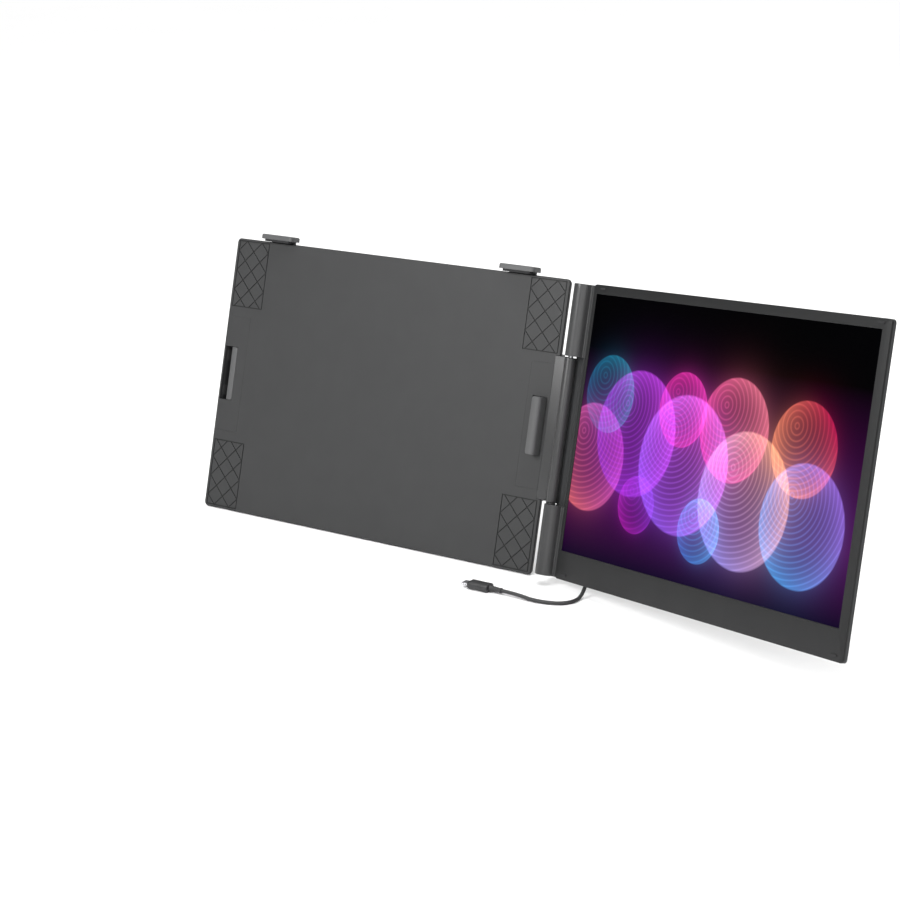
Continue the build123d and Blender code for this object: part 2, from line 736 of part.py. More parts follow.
def barrel_face():
    """Section of a barrel cover, round in front and faired into the bezel."""
    back = [(SCREEN_X0 - STACK_GAP, FACE_Y), (SCREEN_X0 - STACK_GAP, BACK_Y), (3.0, BACK_Y - 1.2)]
    round_part = Circle(KNUCKLE_R) + Pos(3.2, -0.4) * Circle(BARREL_FAT_R)
    face = make_hull((round_part + face_of(back + [(0, 0)])).edges())
    return face - Pos(SCREEN_X0, FACE_Y - CREASE_R) * Circle(CREASE_R)


def barrel_cover(side, end):
    z0, z1 = sorted((side * BARREL_Z0, side * end))
    barrel = column(barrel_face(), z0, z1)
    tip = side * end
    rim = barrel.edges().filter_by(lambda e: abs(e.center().Z - tip) < 0.01 and e.center().X < 6)
    barrel = fillet(rim.filter_by(GeomType.CIRCLE), 0.7)
    bore = sorted((side * (BARREL_Z0 - 1), side * (SHAFT_Z1 + 0.5)))
    barrel -= rod_z(0, 0, BARREL_BORE_R, *bore)
    room = sorted((side * (BARREL_Z0 - 1), side * (CLUTCH_Z1 + 0.3)))
    barrel -= column(clutch_face(0.2), *room)
    return barrel


# Screen

def screen_slab(inset, y0, y1):
    radius = max(SCREEN_CORNER_R - inset, 0.4)
    width = SCREEN_W - 2 * inset
    return slab(SCREEN_CX, SCREEN_CZ, width, SCREEN_H - 2 * inset, radius, y0, y1)


def active_window(y0, y1, grow):
    cx = ACTIVE_X0 + PANEL_W / 2
    cz = ACTIVE_Z0 + PANEL_H / 2
    return slab(cx, cz, PANEL_W + 2 * grow, PANEL_H + 2 * grow, 0, y0, y1)


def rear_screw_places():
    low = SCREEN_Z0 + BEZEL_BOTTOM / 2
    high = SCREEN_Z1 - (BEZEL_TOP - PANEL_OVER + SCREEN_WALL) / 2
    return [(x, z) for x in (SCREEN_X0 + 44, SCREEN_CX, SCREEN_X1 - 24) for z in (low, high)]


def front_bezel():
    bezel = screen_slab(0, FACE_Y, SPLIT_Y)
    front = bezel.edges().filter_by(lambda e: abs(e.center().Y - FACE_Y) < 0.01)
    right = front.filter_by(lambda e: e.center().X > SCREEN_X0 + 0.5)
    bezel = chamfer(right, BEZEL_EDGE)
    bezel -= screen_slab(SCREEN_WALL, FACE_Y + BEZEL_T, SPLIT_Y + BEYOND)
    bezel -= active_window(0, BRACKET_T, 0)
    for x, z in rear_screw_places():
        bezel += rod_y(x, z, 1.7, FACE_Y + BEZEL_T - 0.1, BACK_Y - SCREEN_WALL - STACK_GAP)
        bezel -= rod_y(x, z, SCREW_R + SCREW_GAP, FACE_Y + BEZEL_T + 0.4, BRACKET_T)
    return bezel


def trough_block():
    """Concave filler of the rear cover behind the knuckle's gap."""
    bottom = Line((SCREEN_X0 + 1, BACK_Y), (TROUGH_X + TROUGH_HEEL, BACK_Y))
    corner = Line((TROUGH_X + TROUGH_HEEL, BACK_Y), (TROUGH_X, BACK_Y - TROUGH_HEEL))
    left = Line((TROUGH_X, BACK_Y - TROUGH_HEEL), (TROUGH_X, TROUGH_Y))
    middle = ((TROUGH_X + SCREEN_X0) / 2, TROUGH_DEEP_Y)
    curve = ThreePointArc((TROUGH_X, TROUGH_Y), middle, (SCREEN_X0, FACE_Y))
    right = [Line((SCREEN_X0, FACE_Y), (SCREEN_X0, SPLIT_Y))]
    right.append(Line((SCREEN_X0, SPLIT_Y), (SCREEN_X0 + 1, SPLIT_Y)))
    right.append(Line((SCREEN_X0 + 1, SPLIT_Y), (SCREEN_X0 + 1, BACK_Y)))
    face = make_face([bottom, corner, left, curve] + right)
    half = BARREL_Z0 - STACK_GAP
    return column(face, -half, half)


def hump_slab(inset, y0, y1):
    cx = (HUMP_X0 + HUMP_X1) / 2
    cz = (HUMP_Z0 + HUMP_Z1) / 2
    width = HUMP_X1 - HUMP_X0 - 2 * inset
    height = HUMP_Z1 - HUMP_Z0 - 2 * inset
    return slab(cx, cz, width, height, max(HUMP_R - inset, 1.0), y0, y1)


def port_face(width, height):
    return SlotOverall(width, height)


def port_rod(x, width, height, z0, z1):
    return column(Pos(x, PORT_Y) * port_face(width, height), z0, z1)


def hdmi_rod(grow, z0, z1):
    """D-shaped outline of the small video port."""
    w, h = 5.6 + grow, 1.6 + grow
    points = [(-w, h), (w, h), (w, -h / 2), (w - 1.6, -h), (-w + 1.6, -h), (-w, -h / 2)]
    return column(Pos(HDMI_X, PORT_Y) * face_of(points), z0, z1)


def rear_cover():
    cover = screen_slab(0, SPLIT_Y, BACK_Y)
    back = cover.edges().filter_by(lambda e: abs(e.center().Y - BACK_Y) < 0.01)
    cover = chamfer(back.filter_by(lambda e: e.center().X > SCREEN_X0 + 0.5), REAR_EDGE)
    hump = hump_slab(0, BACK_Y - 0.5, HUMP_Y)
    hump = fillet(hump.edges().filter_by(lambda e: abs(e.center().Y - HUMP_Y) < 0.01), 1.8)
    cover += hump
    cover -= screen_slab(SCREEN_WALL, SPLIT_Y - 1, BACK_Y - SCREEN_WALL)
    cover -= hump_slab(HUMP_WALL, BACK_Y - SCREEN_WALL - 0.5, HUMP_Y - HUMP_WALL)
    cover += trough_block()
    for side in (-1, 1):
        z0, z1 = sorted((side * (CLUTCH_Z0 - 0.5), side * (CLUTCH_Z1 + 0.5)))
        y1 = BACK_Y - SCREEN_WALL
        cover -= block(SCREEN_X0 - 1, SCREEN_X0 + SCREEN_WALL + 1, y1 - CLUTCH_TAB_T - 0.4, y1, z0, z1)
        for x, z in clutch_screw_places(side):
            cover -= rod_y(x, z, SCREW_R + SCREW_GAP, 0, BACK_Y + BEYOND)
            cover -= rod_y(x, z, SCREW_HEAD_R + FIT, BACK_Y - 0.6, BACK_Y + BEYOND)
    for x in (PORT_X_A, PORT_X_B):
        wide = SHELL_W + 2 * (PORT_WALL + PORT_GAP) + 0.2
        high = SHELL_H + 2 * (PORT_WALL + PORT_GAP) + 0.2
        cover -= port_rod(x, wide, high, HUMP_Z0 - 1, HUMP_Z0 + HUMP_WALL + 1)
    cover -= hdmi_rod(0.1, HUMP_Z0 - 1, HUMP_Z0 + HUMP_WALL + 1)
    cover -= button_face_rod(POWER_Z, 9.0, 0.2, HUMP_X1 - 3, HUMP_X1 + 1)
    cover -= button_face_rod(ROCKER_Z, 15.0, 0.3, HUMP_X1 - 3, HUMP_X1 + 1)
    for x, z in rear_screw_places():
        cover -= rod_y(x, z, SCREW_R + SCREW_GAP, 0, BACK_Y + BEYOND)
        cover -= rod_y(x, z, SCREW_HEAD_R + FIT, BACK_Y - SCREW_HEAD_T, BACK_Y + BEYOND)
    return cover


def button_face_rod(z, length, grow, x0, x1):
    """Obround along Z on the hump's outer side wall, drawn along X."""
    plane = Plane(origin=(x0, BUTTON_Y, z), x_dir=(0, 0, 1), z_dir=(1, 0, 0))
    return extrude(plane * SlotOverall(length + 2 * grow, BUTTON_W + 2 * grow), x1 - x0)


def power_button():
    cap = button_face_rod(POWER_Z, 9.0, 0, HUMP_X1 - HUMP_WALL - 0.6, HUMP_X1 + BUTTON_PROUD)
    flange = button_face_rod(POWER_Z, 9.0, 0.8, HUMP_X1 - HUMP_WALL - 1.2, HUMP_X1 - HUMP_WALL - 0.1)
    return cap + flange


def menu_rocker():
    cap = button_face_rod(ROCKER_Z, 15.0, 0, HUMP_X1 - HUMP_WALL - 0.6, HUMP_X1 + BUTTON_PROUD)
    end = HUMP_X1 + BUTTON_PROUD
    dip = rod_y(end + 11.4, ROCKER_Z, 12.0, 0, 2 * HUMP_Y)
    cap -= dip
    pivot = rod_y(rocker_pivot_x(), ROCKER_Z, 0.8, BACK_Y + 0.9, HUMP_Y - HUMP_WALL - 0.2)
    return cap + pivot


def rocker_pivot_x():
    return HUMP_X1 - HUMP_WALL - 1.1


def switch_board():
    """Small upright board behind the buttons, with a switch under each."""
    x1 = HUMP_X1 - HUMP_WALL - 3.4
    board = block(x1 - 0.8, x1, BACK_Y + 0.4, HUMP_Y - HUMP_WALL - 0.1, -36.0, 12.0)
    for z in (POWER_Z, ROCKER_Z - 5, ROCKER_Z + 5):
        board += block(x1 - 0.1, x1 + 0.9, BACK_Y + 1.8, BACK_Y + 4.4, z - 1.4, z + 1.4)
    return board


def display_board():
    """Driver board in the hump, with its cable socket and chips."""
    y1 = PORT_Y - SHELL_H / 2 - PORT_GAP - PORT_WALL - 0.02
    z0 = HUMP_Z0 + HUMP_WALL + 0.5
    x0 = HUMP_X0 + 4
    board = slab(x0 + BOARD_W / 2, z0 + BOARD_H / 2, BOARD_W, BOARD_H, 1.0, y1 - BOARD_T, y1)
    for x, z, w, h in ((85, 30, 14, 14), (115, 24, 9, 9), (140, 34, 12, 6), (50, 36, 34, 5)):
        chip_x, chip_z = x0 + x, z0 + z
        chip = (chip_x - w / 2, chip_x + w / 2, y1 - 0.1, y1 + CHIP_T)
        board += block(*chip, chip_z - h / 2, chip_z + h / 2)
    return board


def lcd_panel():
    return active_window(LCD_Y, LCD_Y + LCD_T, PANEL_OVER - 0.2)


def backlight_tray():
    tray = active_window(TRAY_Y, TRAY_Y + TRAY_T, PANEL_OVER - 0.4)
    x0, x1 = ACTIVE_X0 + 40, ACTIVE_X0 + PANEL_W - 40
    for share in (0.2, 0.5, 0.8):
        z = ACTIVE_Z0 + share * PANEL_H
        tray += block(x0, x1, TRAY_Y + TRAY_T - 0.1, TRAY_Y + TRAY_T + 0.5, z - 1.5, z + 1.5)
    return tray


def usb_c_ports():
    ports = []
    for x in (PORT_X_A, PORT_X_B):
        wide = SHELL_W + 2 * (PORT_WALL + PORT_GAP)
        high = SHELL_H + 2 * (PORT_WALL + PORT_GAP)
        z0 = HUMP_Z0 + 0.3
        port = port_rod(x, wide, high, z0, z0 + 9.0)
        port -= port_rod(x, SHELL_W + 2 * PORT_GAP, SHELL_H + 2 * PORT_GAP, z0 - 1, z0 + 7.6)
        port += port_rod(x, 6.4, 0.7, z0 + 1.2, z0 + 8.0)
        ports.append(port)
    return Compound(ports)


def mini_hdmi_port():
    z0 = HUMP_Z0 + 0.3
    port = hdmi_rod(0, z0, z0 + 9.0)
    port -= hdmi_rod(-0.4, z0 - 1, z0 + 7.0)
    return port + column(Pos(HDMI_X, PORT_Y) * Rectangle(8.0, 0.7), z0 + 1.0, z0 + 7.5)


def bumper_pads():
    pads = []
    x0, x1 = SCREEN_X0 + 12.5, SCREEN_X1 - 10.5
    z0, z1 = SCREEN_Z0 + 4.2, SCREEN_Z1 - 3.2
    for x in (x0, x1):
        for z in (z0, z1):
            pads.append(slab(x, z, 7.0, 1.8, 0.85, FACE_Y - 0.5, FACE_Y))
    return Compound(pads)


def screen_screws():
    """Flat screws in the rear cover, through to the bezel's posts."""
    return Compound([screw(x, z, BACK_Y, SCREEN_SCREW_L, -1) for x, z in rear_screw_places()])


def clutch_screws():
    """Screws through the rear cover into the clutch tabs."""
    screws = []
    for side in (-1, 1):
        for x, z in clutch_screw_places(side):
            head = rod_y(x, z, SCREW_HEAD_R, BACK_Y - 0.6, BACK_Y)
            screws.append(head + rod_y(x, z, SCREW_R, BACK_Y - 2.4, BACK_Y - 0.6))
    return Compound(screws)


# Kickstand

def kickstand():
    cz = STAND_TOP_Z - STAND_H / 2
    y1 = BRACKET_T - FIT
    plate = slab(0, cz, STAND_W, STAND_H, 0.8, y1 - STAND_T, y1)
    top = plate.edges().filter_by(Axis.X)
    top = top.filter_by(lambda e: e.center().Z > STAND_TOP_Z - 0.1)
    plate = fillet(top, STAND_T / 2 - 0.01)
    outer = slab(0, cz - 6, STAND_W - 44, STAND_H - 40, 6.0, y1 - STAND_T - 1, y1 - 1.2)
    plate -= outer
    for x in (-24.0, 24.0):
        plate += slab(x, cz - 6, 1.6, STAND_H - 39, 0, y1 - STAND_T, y1 - 1.1)
    plate -= stand_foot_space(0.02)
    bore = STAND_PIN_R + STAND_PIN_GAP
    return plate - rod_x(STAND_PIN_Y, STAND_PIN_Z, bore, -STAND_W, STAND_W)


def stand_foot_space(grow):
    z = STAND_TOP_Z - STAND_H + FOOT_H
    y1 = BRACKET_T - FIT
    width, height = STAND_W - FOOT_SHORT + 2 * grow, FOOT_H + 2 * grow
    return slab(0, z, width, height, height / 2 - 0.1, y1 - FOOT_T - grow, y1 + 0.3)


def kickstand_foot():
    z = STAND_TOP_Z - STAND_H + FOOT_H
    y1 = BRACKET_T - FIT
    return slab(0, z, STAND_W - FOOT_SHORT, FOOT_H, FOOT_H / 2 - 0.1, y1 - FOOT_T, y1)


def kickstand_pin():
    reach = STAND_W / 2 + 4.4
    return rod_x(STAND_PIN_Y, STAND_PIN_Z, STAND_PIN_R, -reach, reach)


# Cord and plugs, each plug drawn with its tip up and its front face at zero

def plug_shell():
    shell = column(port_face(SHELL_W, SHELL_H), 0, SHELL_L)
    inside = port_face(SHELL_W - 2 * SHELL_WALL, SHELL_H - 2 * SHELL_WALL)
    return shell - column(inside, 0.8, SHELL_L + 1)


def plug_overmould():
    body = column(RectangleRounded(OVERMOULD_W, OVERMOULD_H, 2.6), -OVERMOULD_L, 0)
    ends = body.faces().sort_by(Axis.Z)
    body = chamfer(ends[0].edges() + ends[-1].edges(), 0.7)
    return body


def plug_relief():
    """Tapered sleeve with a bead at its end, which keeps the cord from kinking."""
    top, low = -OVERMOULD_L, -OVERMOULD_L - RELIEF_L
    bead = low + 1.6
    profile = [(0, top), (RELIEF_R0, top), (RELIEF_R1, bead), (RELIEF_R1 + 0.25, bead)]
    profile += [(RELIEF_R1 + 0.25, low), (0, low)]
    face = make_face(Plane.XZ * Polyline(*profile, close=True))
    return revolve(face, axis=Axis.Z)


def place_plug_b(shape):
    """Plug in the screen's port, pointing up into it."""
    return lean(place_screen(Pos(PORT_X_A, PORT_Y, HUMP_Z0 - 0.5) * shape))


def place_plug_a(shape):
    """Free plug lying flat on the floor, its tip to the left."""
    turn = Rot(0, -90, 0) * Rot(0, 0, 90)
    return Pos(PLUG_A_X, PLUG_A_Y, FLOOR_Z + OVERMOULD_H / 2) * turn * shape


# The cord's corners, from the screen's plug down to the floor and to the free plug
CORD_POINTS = [
    (254.98, -43.06, -94.72),
    (254.98, -50.57, -120.40),
    (257.00, -77.40, -120.40),
    (231.00, -86.50, -120.40),
    (208.00, -84.00, -118.75),
    (193.50, -84.00, -118.75),
]


def cord_radii(points):
    """Bend radius at each inner corner, from the shorter run beside it."""
    radii = []
    for a, b, c in zip(points, points[1:], points[2:]):
        run_in = Vector(*b) - Vector(*a)
        run_out = Vector(*c) - Vector(*b)
        turn = radians(run_in.get_angle(run_out))
        radii.append(0.45 * min(run_in.length, run_out.length) / tan(turn / 2))
    return radii


def cord():
    radii = cord_radii(CORD_POINTS)
    path = FilletPolyline(*CORD_POINTS, radius=radii)
    plane = Plane(origin=path @ 0, z_dir=path % 0)
    solid = sweep(plane * Circle(CORD_R), path=path)
    expected = pi * CORD_R ** 2 * path.length
    print("cord radii", [round(r, 1) for r in radii], "length", round(path.length, 1),
          "volume ratio", round(solid.volume / expected, 4))
    return solid


# All pieces, by name

def bracket_pieces():
    left = [side_clip_solid(), side_clip_pad()]
    left = [mirror_x(Pos(LEFT_SHIFT, 0, 0) * stow(shape)) for shape in left]
    pieces = {
        "bracket_front_cover": bracket_front_cover(),
        "bracket_back_cover": bracket_back_cover(),
        "bracket_screws": bracket_screws(),
        "side_module_right": module_solid(MODULE_END_R, 0),
        "side_module_left": mirror_x(module_solid(MODULE_END_L, LEFT_SHIFT)),
        "side_clip_right": side_clip_solid(),
        "side_clip_pad_right": side_clip_pad(),
        "side_clip_left": left[0],
        "side_clip_pad_left": left[1],
        "top_clip_left": top_clip_solid(-TOP_CLIP_X),
        "top_clip_right": top_clip_solid(TOP_CLIP_X),
        "top_clip_pad_left": top_clip_pad(-TOP_CLIP_X),
        "top_clip_pad_right": top_clip_pad(TOP_CLIP_X),
        "top_clip_guides": top_clip_guides(),
        "top_clip_springs": top_clip_springs(),
        "hinge_leaf_front": leaf_half(True),
        "hinge_leaf_back": leaf_half(False),
        "hinge_arm_plate": hinge_arm_plate(),
        "leaf_screws": leaf_screws(),
        "kickstand": kickstand(),
        "kickstand_foot": kickstand_foot(),
        "kickstand_pin": kickstand_pin(),
    }
    for name, side in (("upper", 1), ("lower", -1)):
        z0, z1 = sorted((side * SHAFT_Z0, side * SHAFT_Z1))
        pieces["hinge_shaft_" + name] = Pos(HINGE_X, HINGE_Y, 0) * hinge_shaft(z0, z1)
    return pieces


def screen_pieces():
    return {
        "front_bezel": front_bezel(),
        "rear_cover": rear_cover(),
        "lcd_panel": lcd_panel(),
        "backlight_tray": backlight_tray(),
        "display_board": display_board(),
        "switch_board": switch_board(),
        "barrel_cover_upper": barrel_cover(1, BARREL_TOP),
        "barrel_cover_lower": barrel_cover(-1, BARREL_BOTTOM),
        "hinge_clutch_upper": hinge_clutch(1),
        "hinge_clutch_lower": hinge_clutch(-1),
        "clutch_screws": clutch_screws(),
        "screen_screws": screen_screws(),
        "usb_c_ports": usb_c_ports(),
        "mini_hdmi_port": mini_hdmi_port(),
        "power_button": power_button(),
        "menu_rocker": menu_rocker(),
        "bumper_pads": bumper_pads(),
    }


def cord_pieces():
    pieces = {"usb_cable": cord()}
    makers = {"shell": plug_shell, "overmould": plug_overmould, "strain_relief": plug_relief}
    for part, make in makers.items():
        pieces["plug_a_" + part] = place_plug_a(make())
        pieces["plug_b_" + part] = place_plug_b(make())
    return pieces


def build():
    pieces = {name: lean(shape) for name, shape in bracket_pieces().items()}
    for name, shape in screen_pieces().items():
        pieces[name] = lean(place_screen(shape))
    pieces.update(cord_pieces())
    return pieces


def main():
    os.makedirs("parts", exist_ok=True)
    for name, shape in build().items():
        export_step(shape, "parts/" + name + ".step")


if __name__ == "__main__":
    main()
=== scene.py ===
"""Clip-on portable screen: the finished look, built round the fixed frame."""

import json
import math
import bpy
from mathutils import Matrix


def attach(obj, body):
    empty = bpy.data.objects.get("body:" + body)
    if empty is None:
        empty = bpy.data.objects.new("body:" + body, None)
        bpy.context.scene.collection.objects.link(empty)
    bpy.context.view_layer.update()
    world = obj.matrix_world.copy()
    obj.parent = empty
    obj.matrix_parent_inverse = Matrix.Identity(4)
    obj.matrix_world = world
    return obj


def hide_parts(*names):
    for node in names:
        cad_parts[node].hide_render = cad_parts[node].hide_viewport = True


bl_info = {
    "name": "Clip-on portable screen",
    "version": (1, 0, 0),
    "blender": (4, 5, 0),
    "location": "View3D > Sidebar > Portable screen",
    "description": "Makes the skins, cord, screws and finishes of a clip-on portable screen",
    "category": "Object",
}

import bmesh
import bpy
import numpy as np
from bpy.props import FloatProperty, FloatVectorProperty, IntProperty, PointerProperty
from mathutils import Matrix, Vector

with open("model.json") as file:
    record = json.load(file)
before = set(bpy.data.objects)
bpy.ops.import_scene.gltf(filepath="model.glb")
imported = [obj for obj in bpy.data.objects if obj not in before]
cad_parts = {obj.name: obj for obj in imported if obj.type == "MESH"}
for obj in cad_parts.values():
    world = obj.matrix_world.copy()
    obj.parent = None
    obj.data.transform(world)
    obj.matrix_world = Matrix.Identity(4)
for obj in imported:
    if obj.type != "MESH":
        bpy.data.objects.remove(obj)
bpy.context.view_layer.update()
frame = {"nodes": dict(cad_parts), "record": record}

MM = 0.001

# How the whole stands, as in the part's source
LEAN = math.radians(16.3)
SWING = math.radians(20.7)
HINGE_X = 204.0
HINGE_Y = -8.2
AXIS = np.array([HINGE_X, HINGE_Y])
FLOOR_Z = -122.0

# Screen, in its own frame, in millimetres
ACTIVE_X0, ACTIVE_Z0 = 19.5, -98.65
PANEL_W, PANEL_H = 344.7, 215.4
SCREEN_X0, SCREEN_X1 = 15.7, 373.3
SCREEN_Z0, SCREEN_Z1 = -122.65, 124.65
FACE_Y, SPLIT_Y, BACK_Y = 3.0, 4.8, 8.6
BEZEL_T, SCREEN_WALL, CORNER_R = 0.9, 1.2, 3.0
WINDOW_R, HINGE_SIDE_EASE = 0.2, 0.12
LCD_Y, LCD_T, PANEL_OVER, PANEL_R = 3.95, 1.5, 1.8, 0.5

# Hinge: barrel covers
KNUCKLE_R, KNUCKLE_HALF_H = 4.4, 61.2
BARREL_Z0, BARREL_TOP, BARREL_BOTTOM = 62.6, 123.5, 122.0
BARREL_BORE_R, BARREL_BORE_END = 3.3, 110.5
BARREL_FAT_R, BARREL_TURN, CREASE_R = 8.4, 16.2, 0.7
BARREL_EASE, BARREL_BACK_X = 0.2, 3.0

# Hinge: leaf, bent web and steel arm. The angles say where the web meets the knuckle
LEAF_X, LEAF_T, WEB_X = 183.3, 5.0, 193.5
WEB_BEND_R, WEB_BEND_END = 3.0, -42
WEB_ANGLE_FRONT, WEB_ANGLE_BACK = 200, 115.4
STEEL_Y, STEEL_T, STEEL_FIT = 3.2, 1.5, 0.05
BORE_R, BORE_TURN = 2.24, 160
SWELL_AT = math.radians(35)

# Hinge: washer's section, as radius and distance below the hinge's middle
WASHER = ((2.3, 61.35), (3.9, 61.35), (4.1, 61.55), (4.1, 62.25), (3.9, 62.45), (2.3, 62.45))

# Screws: places, head, shank, and the arms of the cross recess
BRACKET_T, HEAD_R, SHANK_R = 13.5, 1.9, 1.0
SCREW_EASE, SHANK_CHAMFER, POLE_R = 0.15, 0.3, 0.02
ARM_HALF_W, ARM_SLOPE, ARM_REACH, ARM_END_SLOPE = 0.36, 0.12, 1.15, 0.2
BRACKET_SCREWS = [(x, z) for x in (-168.0, 0.0, 168.0) for z in (-108.0, 108.0)]
SCREEN_SCREWS = [(x, z) for x in (59.7, 194.5, 349.3) for z in (-110.65, 121.1)]
CLUTCH_SCREWS = [(39.0, side * z) for side in (-1, 1) for z in (72.0, 90.0)]

# Side clip
CLIP_INNER_X, CLIP_OUTER_X = 171.1, 179.5
CLIP_OUT, CLIP_PLATE_T, CLIP_WALL_T = 9.0, 2.0, 3.0
CLIP_ROOT_Y, CLIP_HALF_H, CLIP_IN, LEFT_SHIFT = 2.7, 24.6, 5.386, 5.5
CLIP_EASE, CLIP_INNER_R = 0.3, 0.8
PIN_R, PIN_SUNK, PIN_OUT, PIN_EASE = 0.9, 0.4, 1.4, 0.2

# Cord: control points and radius, in metres
CORD_POINTS = (
    (0.25498, -0.04306, -0.09472),
    (0.25498, -0.05057, -0.12040),
    (0.25700, -0.07740, -0.12040),
    (0.23100, -0.08650, -0.12040),
    (0.20800, -0.08400, -0.11875),
    (0.19350, -0.08400, -0.11875),
)
CORD_R = 0.0016

# Plug, in its own frame: the front face is at zero and the body runs down from it
PLUG_HALF_W, PLUG_HALF_T, PLUG_R, PLUG_LENGTH, PLUG_ROLL = 5.5, 3.25, 2.6, 20.5, 0.8
GRIP_START, GRIP_PITCH = 15.5, 1.5
RELIEF_LENGTH, RELIEF_R, RELIEF_TAPER = 12.0, 2.7, 0.7
RIB_FROM, RIB_TO, RIB_DEPTH = 0.12, 0.84, 0.28
RELIEF_END, RELIEF_END_GROW = 0.87, 0.25

# Places of the plug in the screen's port and of the free one
PORT_X, PORT_Y, PORT_Z = 50.0, 11.9, -70.5
PLUG_A = (161.0, -84.0, FLOOR_Z + PLUG_HALF_T)

# Camera: its focal length in picture widths, its place, and its right, up and back
FOCAL_SHARE, SENSOR_MM, VIEW_END = 2390.5 / 900.0, 36.0, 30.0
CAMERA_AT = (1.309073, -1.581049, 0.567133)
CAMERA_RIGHT = (0.795817, 0.604350, -0.037897)
CAMERA_UP = (-0.145629, 0.251764, 0.956769)
CAMERA_BACK = (0.587765, -0.755894, 0.288369)

# Soft lights: name, place and size, each turned to one point. The wide light is overhead
SOFT_LIGHTS = (
    ("key", (-0.28, -0.96, 0.72), 0.45),
    ("front", (0.62, -1.48, 0.45), 0.6),
    ("side", (2.0, -1.8, 1.2), 1.4),
    ("near", (1.24, -0.873, 0.73), 0.8),
    ("back", (-0.5, 2.1, 1.3), 1.4),
)
LIGHT_AIM = (0.15, 0.0, 0.0)
TOP_SPREAD, TOP_TILT = math.radians(70), math.radians(-12)
FLOOR_HALF = 8.0


# Sizes, colours and light that a user would change


def length(name, default, about):
    """A length property in metres."""
    kind = {"unit": "LENGTH", "subtype": "DISTANCE"}
    return FloatProperty(name=name, default=default, description=about, **kind)


def colour(name, default, about):
    """A linear colour property."""
    kind = {"subtype": "COLOR", "min": 0, "max": 1}
    return FloatVectorProperty(name=name, default=default, description=about, **kind)


def power(name, default, about):
    """A light's power in watts."""
    return FloatProperty(name=name, default=default, description=about, unit="POWER")


class SkinSizes(bpy.types.PropertyGroup):
    """Edge sizes of the outer skins and details."""

    bezel_edge: length("Bezel edge", 0.0005, "Width of the bevel round the front frame")
    window_edge: length("Window edge", 0.0003, "Width of the bevel round the lit area")
    barrel_round: length("Barrel rounding", 0.0008, "Rounding of the barrel covers' outer ends")
    leaf_round: length("Leaf rounding", 0.0004, "Rounding of the knuckle's two ends")
    swell: length("Knuckle swell", 0.00045, "How far the knuckle's back swells towards the screen")
    clip_round: length("Clip rounding", 0.002, "Corner radius of the side clips' plates")
    clip_bend: length("Clip bend", 0.0038, "Outer radius between a side clip's plate and wall")
    recess_depth: length("Drive recess", 0.0005, "Depth of the cross recess in the screw heads")
    grip_depth: length("Grip depth", 0.00025, "Depth of the grip grooves on the plugs")
    grip_count: IntProperty(
        name="Grip grooves", default=4, min=0, description="Grooves on each plug")
    rib_count: IntProperty(
        name="Relief ribs", default=5, min=1, description="Ribs on each strain relief")


class FinishColours(bpy.types.PropertyGroup):
    """Base colours of the finishes."""

    shell: colour("Shell", (0.0335, 0.034, 0.0345), "Bracket covers, modules and kickstand")
    clip: colour("Clips", (0.080, 0.081, 0.082), "Side clips and top clips")
    hinge: colour("Hinge covers", (0.040, 0.0405, 0.041), "Knuckle, leaf and barrel covers")
    bezel: colour("Bezel", (0.0135, 0.0138, 0.0141), "Frame round the lit area")
    rear: colour("Rear cover", (0.034, 0.035, 0.036), "Back of the screen")
    rubber: colour("Rubber", (0.014, 0.014, 0.015), "Pads, feet and bumpers")
    cord: colour("Cord", (0.025, 0.025, 0.026), "Cord sheath and strain reliefs")
    plug: colour("Plug", (0.024, 0.024, 0.025), "Plug bodies")
    glow: FloatProperty(
        name="Glow", default=1.0, min=0, description="Brightness of the lit picture")


class StageLight(bpy.types.PropertyGroup):
    """Studio light and floor."""

    key: power("Key", 11.0, "Soft light in front, above")
    front: power("Front", 4.0, "Low soft light in front")
    side: power("Side", 11.0, "Large soft light on the right")
    back: power("Back", 16.0, "Large soft light behind")
    near: power("Near", 3.5, "Close soft light on the right")
    top: FloatProperty(
        name="Top", default=3.3, description="Irradiance of the wide overhead light")
    sky: FloatProperty(
        name="Sky", default=0.07, min=0, description="Strength of the even white surround")
    floor: colour("Floor", (0.93, 0.93, 0.93), "Plain floor")


def sizes():
    """The edge sizes as the user has them."""
    return bpy.context.scene.portable_screen_sizes


def colours():
    """The base colours as the user has them."""
    return bpy.context.scene.portable_screen_colours


def lights():
    """The studio light as the user has it."""
    return bpy.context.scene.portable_screen_lights


# Places: from each piece's own frame in millimetres to the row frame in metres


def on_bracket(p):
    """Leaned back about X: y' = y cos t + z sin t, z' = z cos t - y sin t."""
    c, s = math.cos(LEAN), math.sin(LEAN)
    x, y, z = p[..., 0], p[..., 1], p[..., 2]
    return np.stack([x, y * c + z * s, z * c - y * s], -1) * MM


def on_screen(p):
    """Swung about the hinge axis, carried to it, then leaned back with the bracket."""
    c, s = math.cos(SWING), math.sin(SWING)
    x, y, z = p[..., 0], p[..., 1], p[..., 2]
    return on_bracket(np.stack([x * c + y * s + HINGE_X, y * c - x * s + HINGE_Y, z], -1))


def on_plug_b(p):
    """Plug in the screen's port: its tip points up, its front face is the origin."""
    return on_screen(p + np.array([PORT_X, PORT_Y, PORT_Z]))


def on_plug_a(p):
    """Free plug flat on the floor: up turns to the left, width lies along Y."""
    x, y, z = p[..., 0], p[..., 1], p[..., 2]
    return (np.stack([-z, x, -y], -1) + np.array(PLUG_A)) * MM


# Surfaces


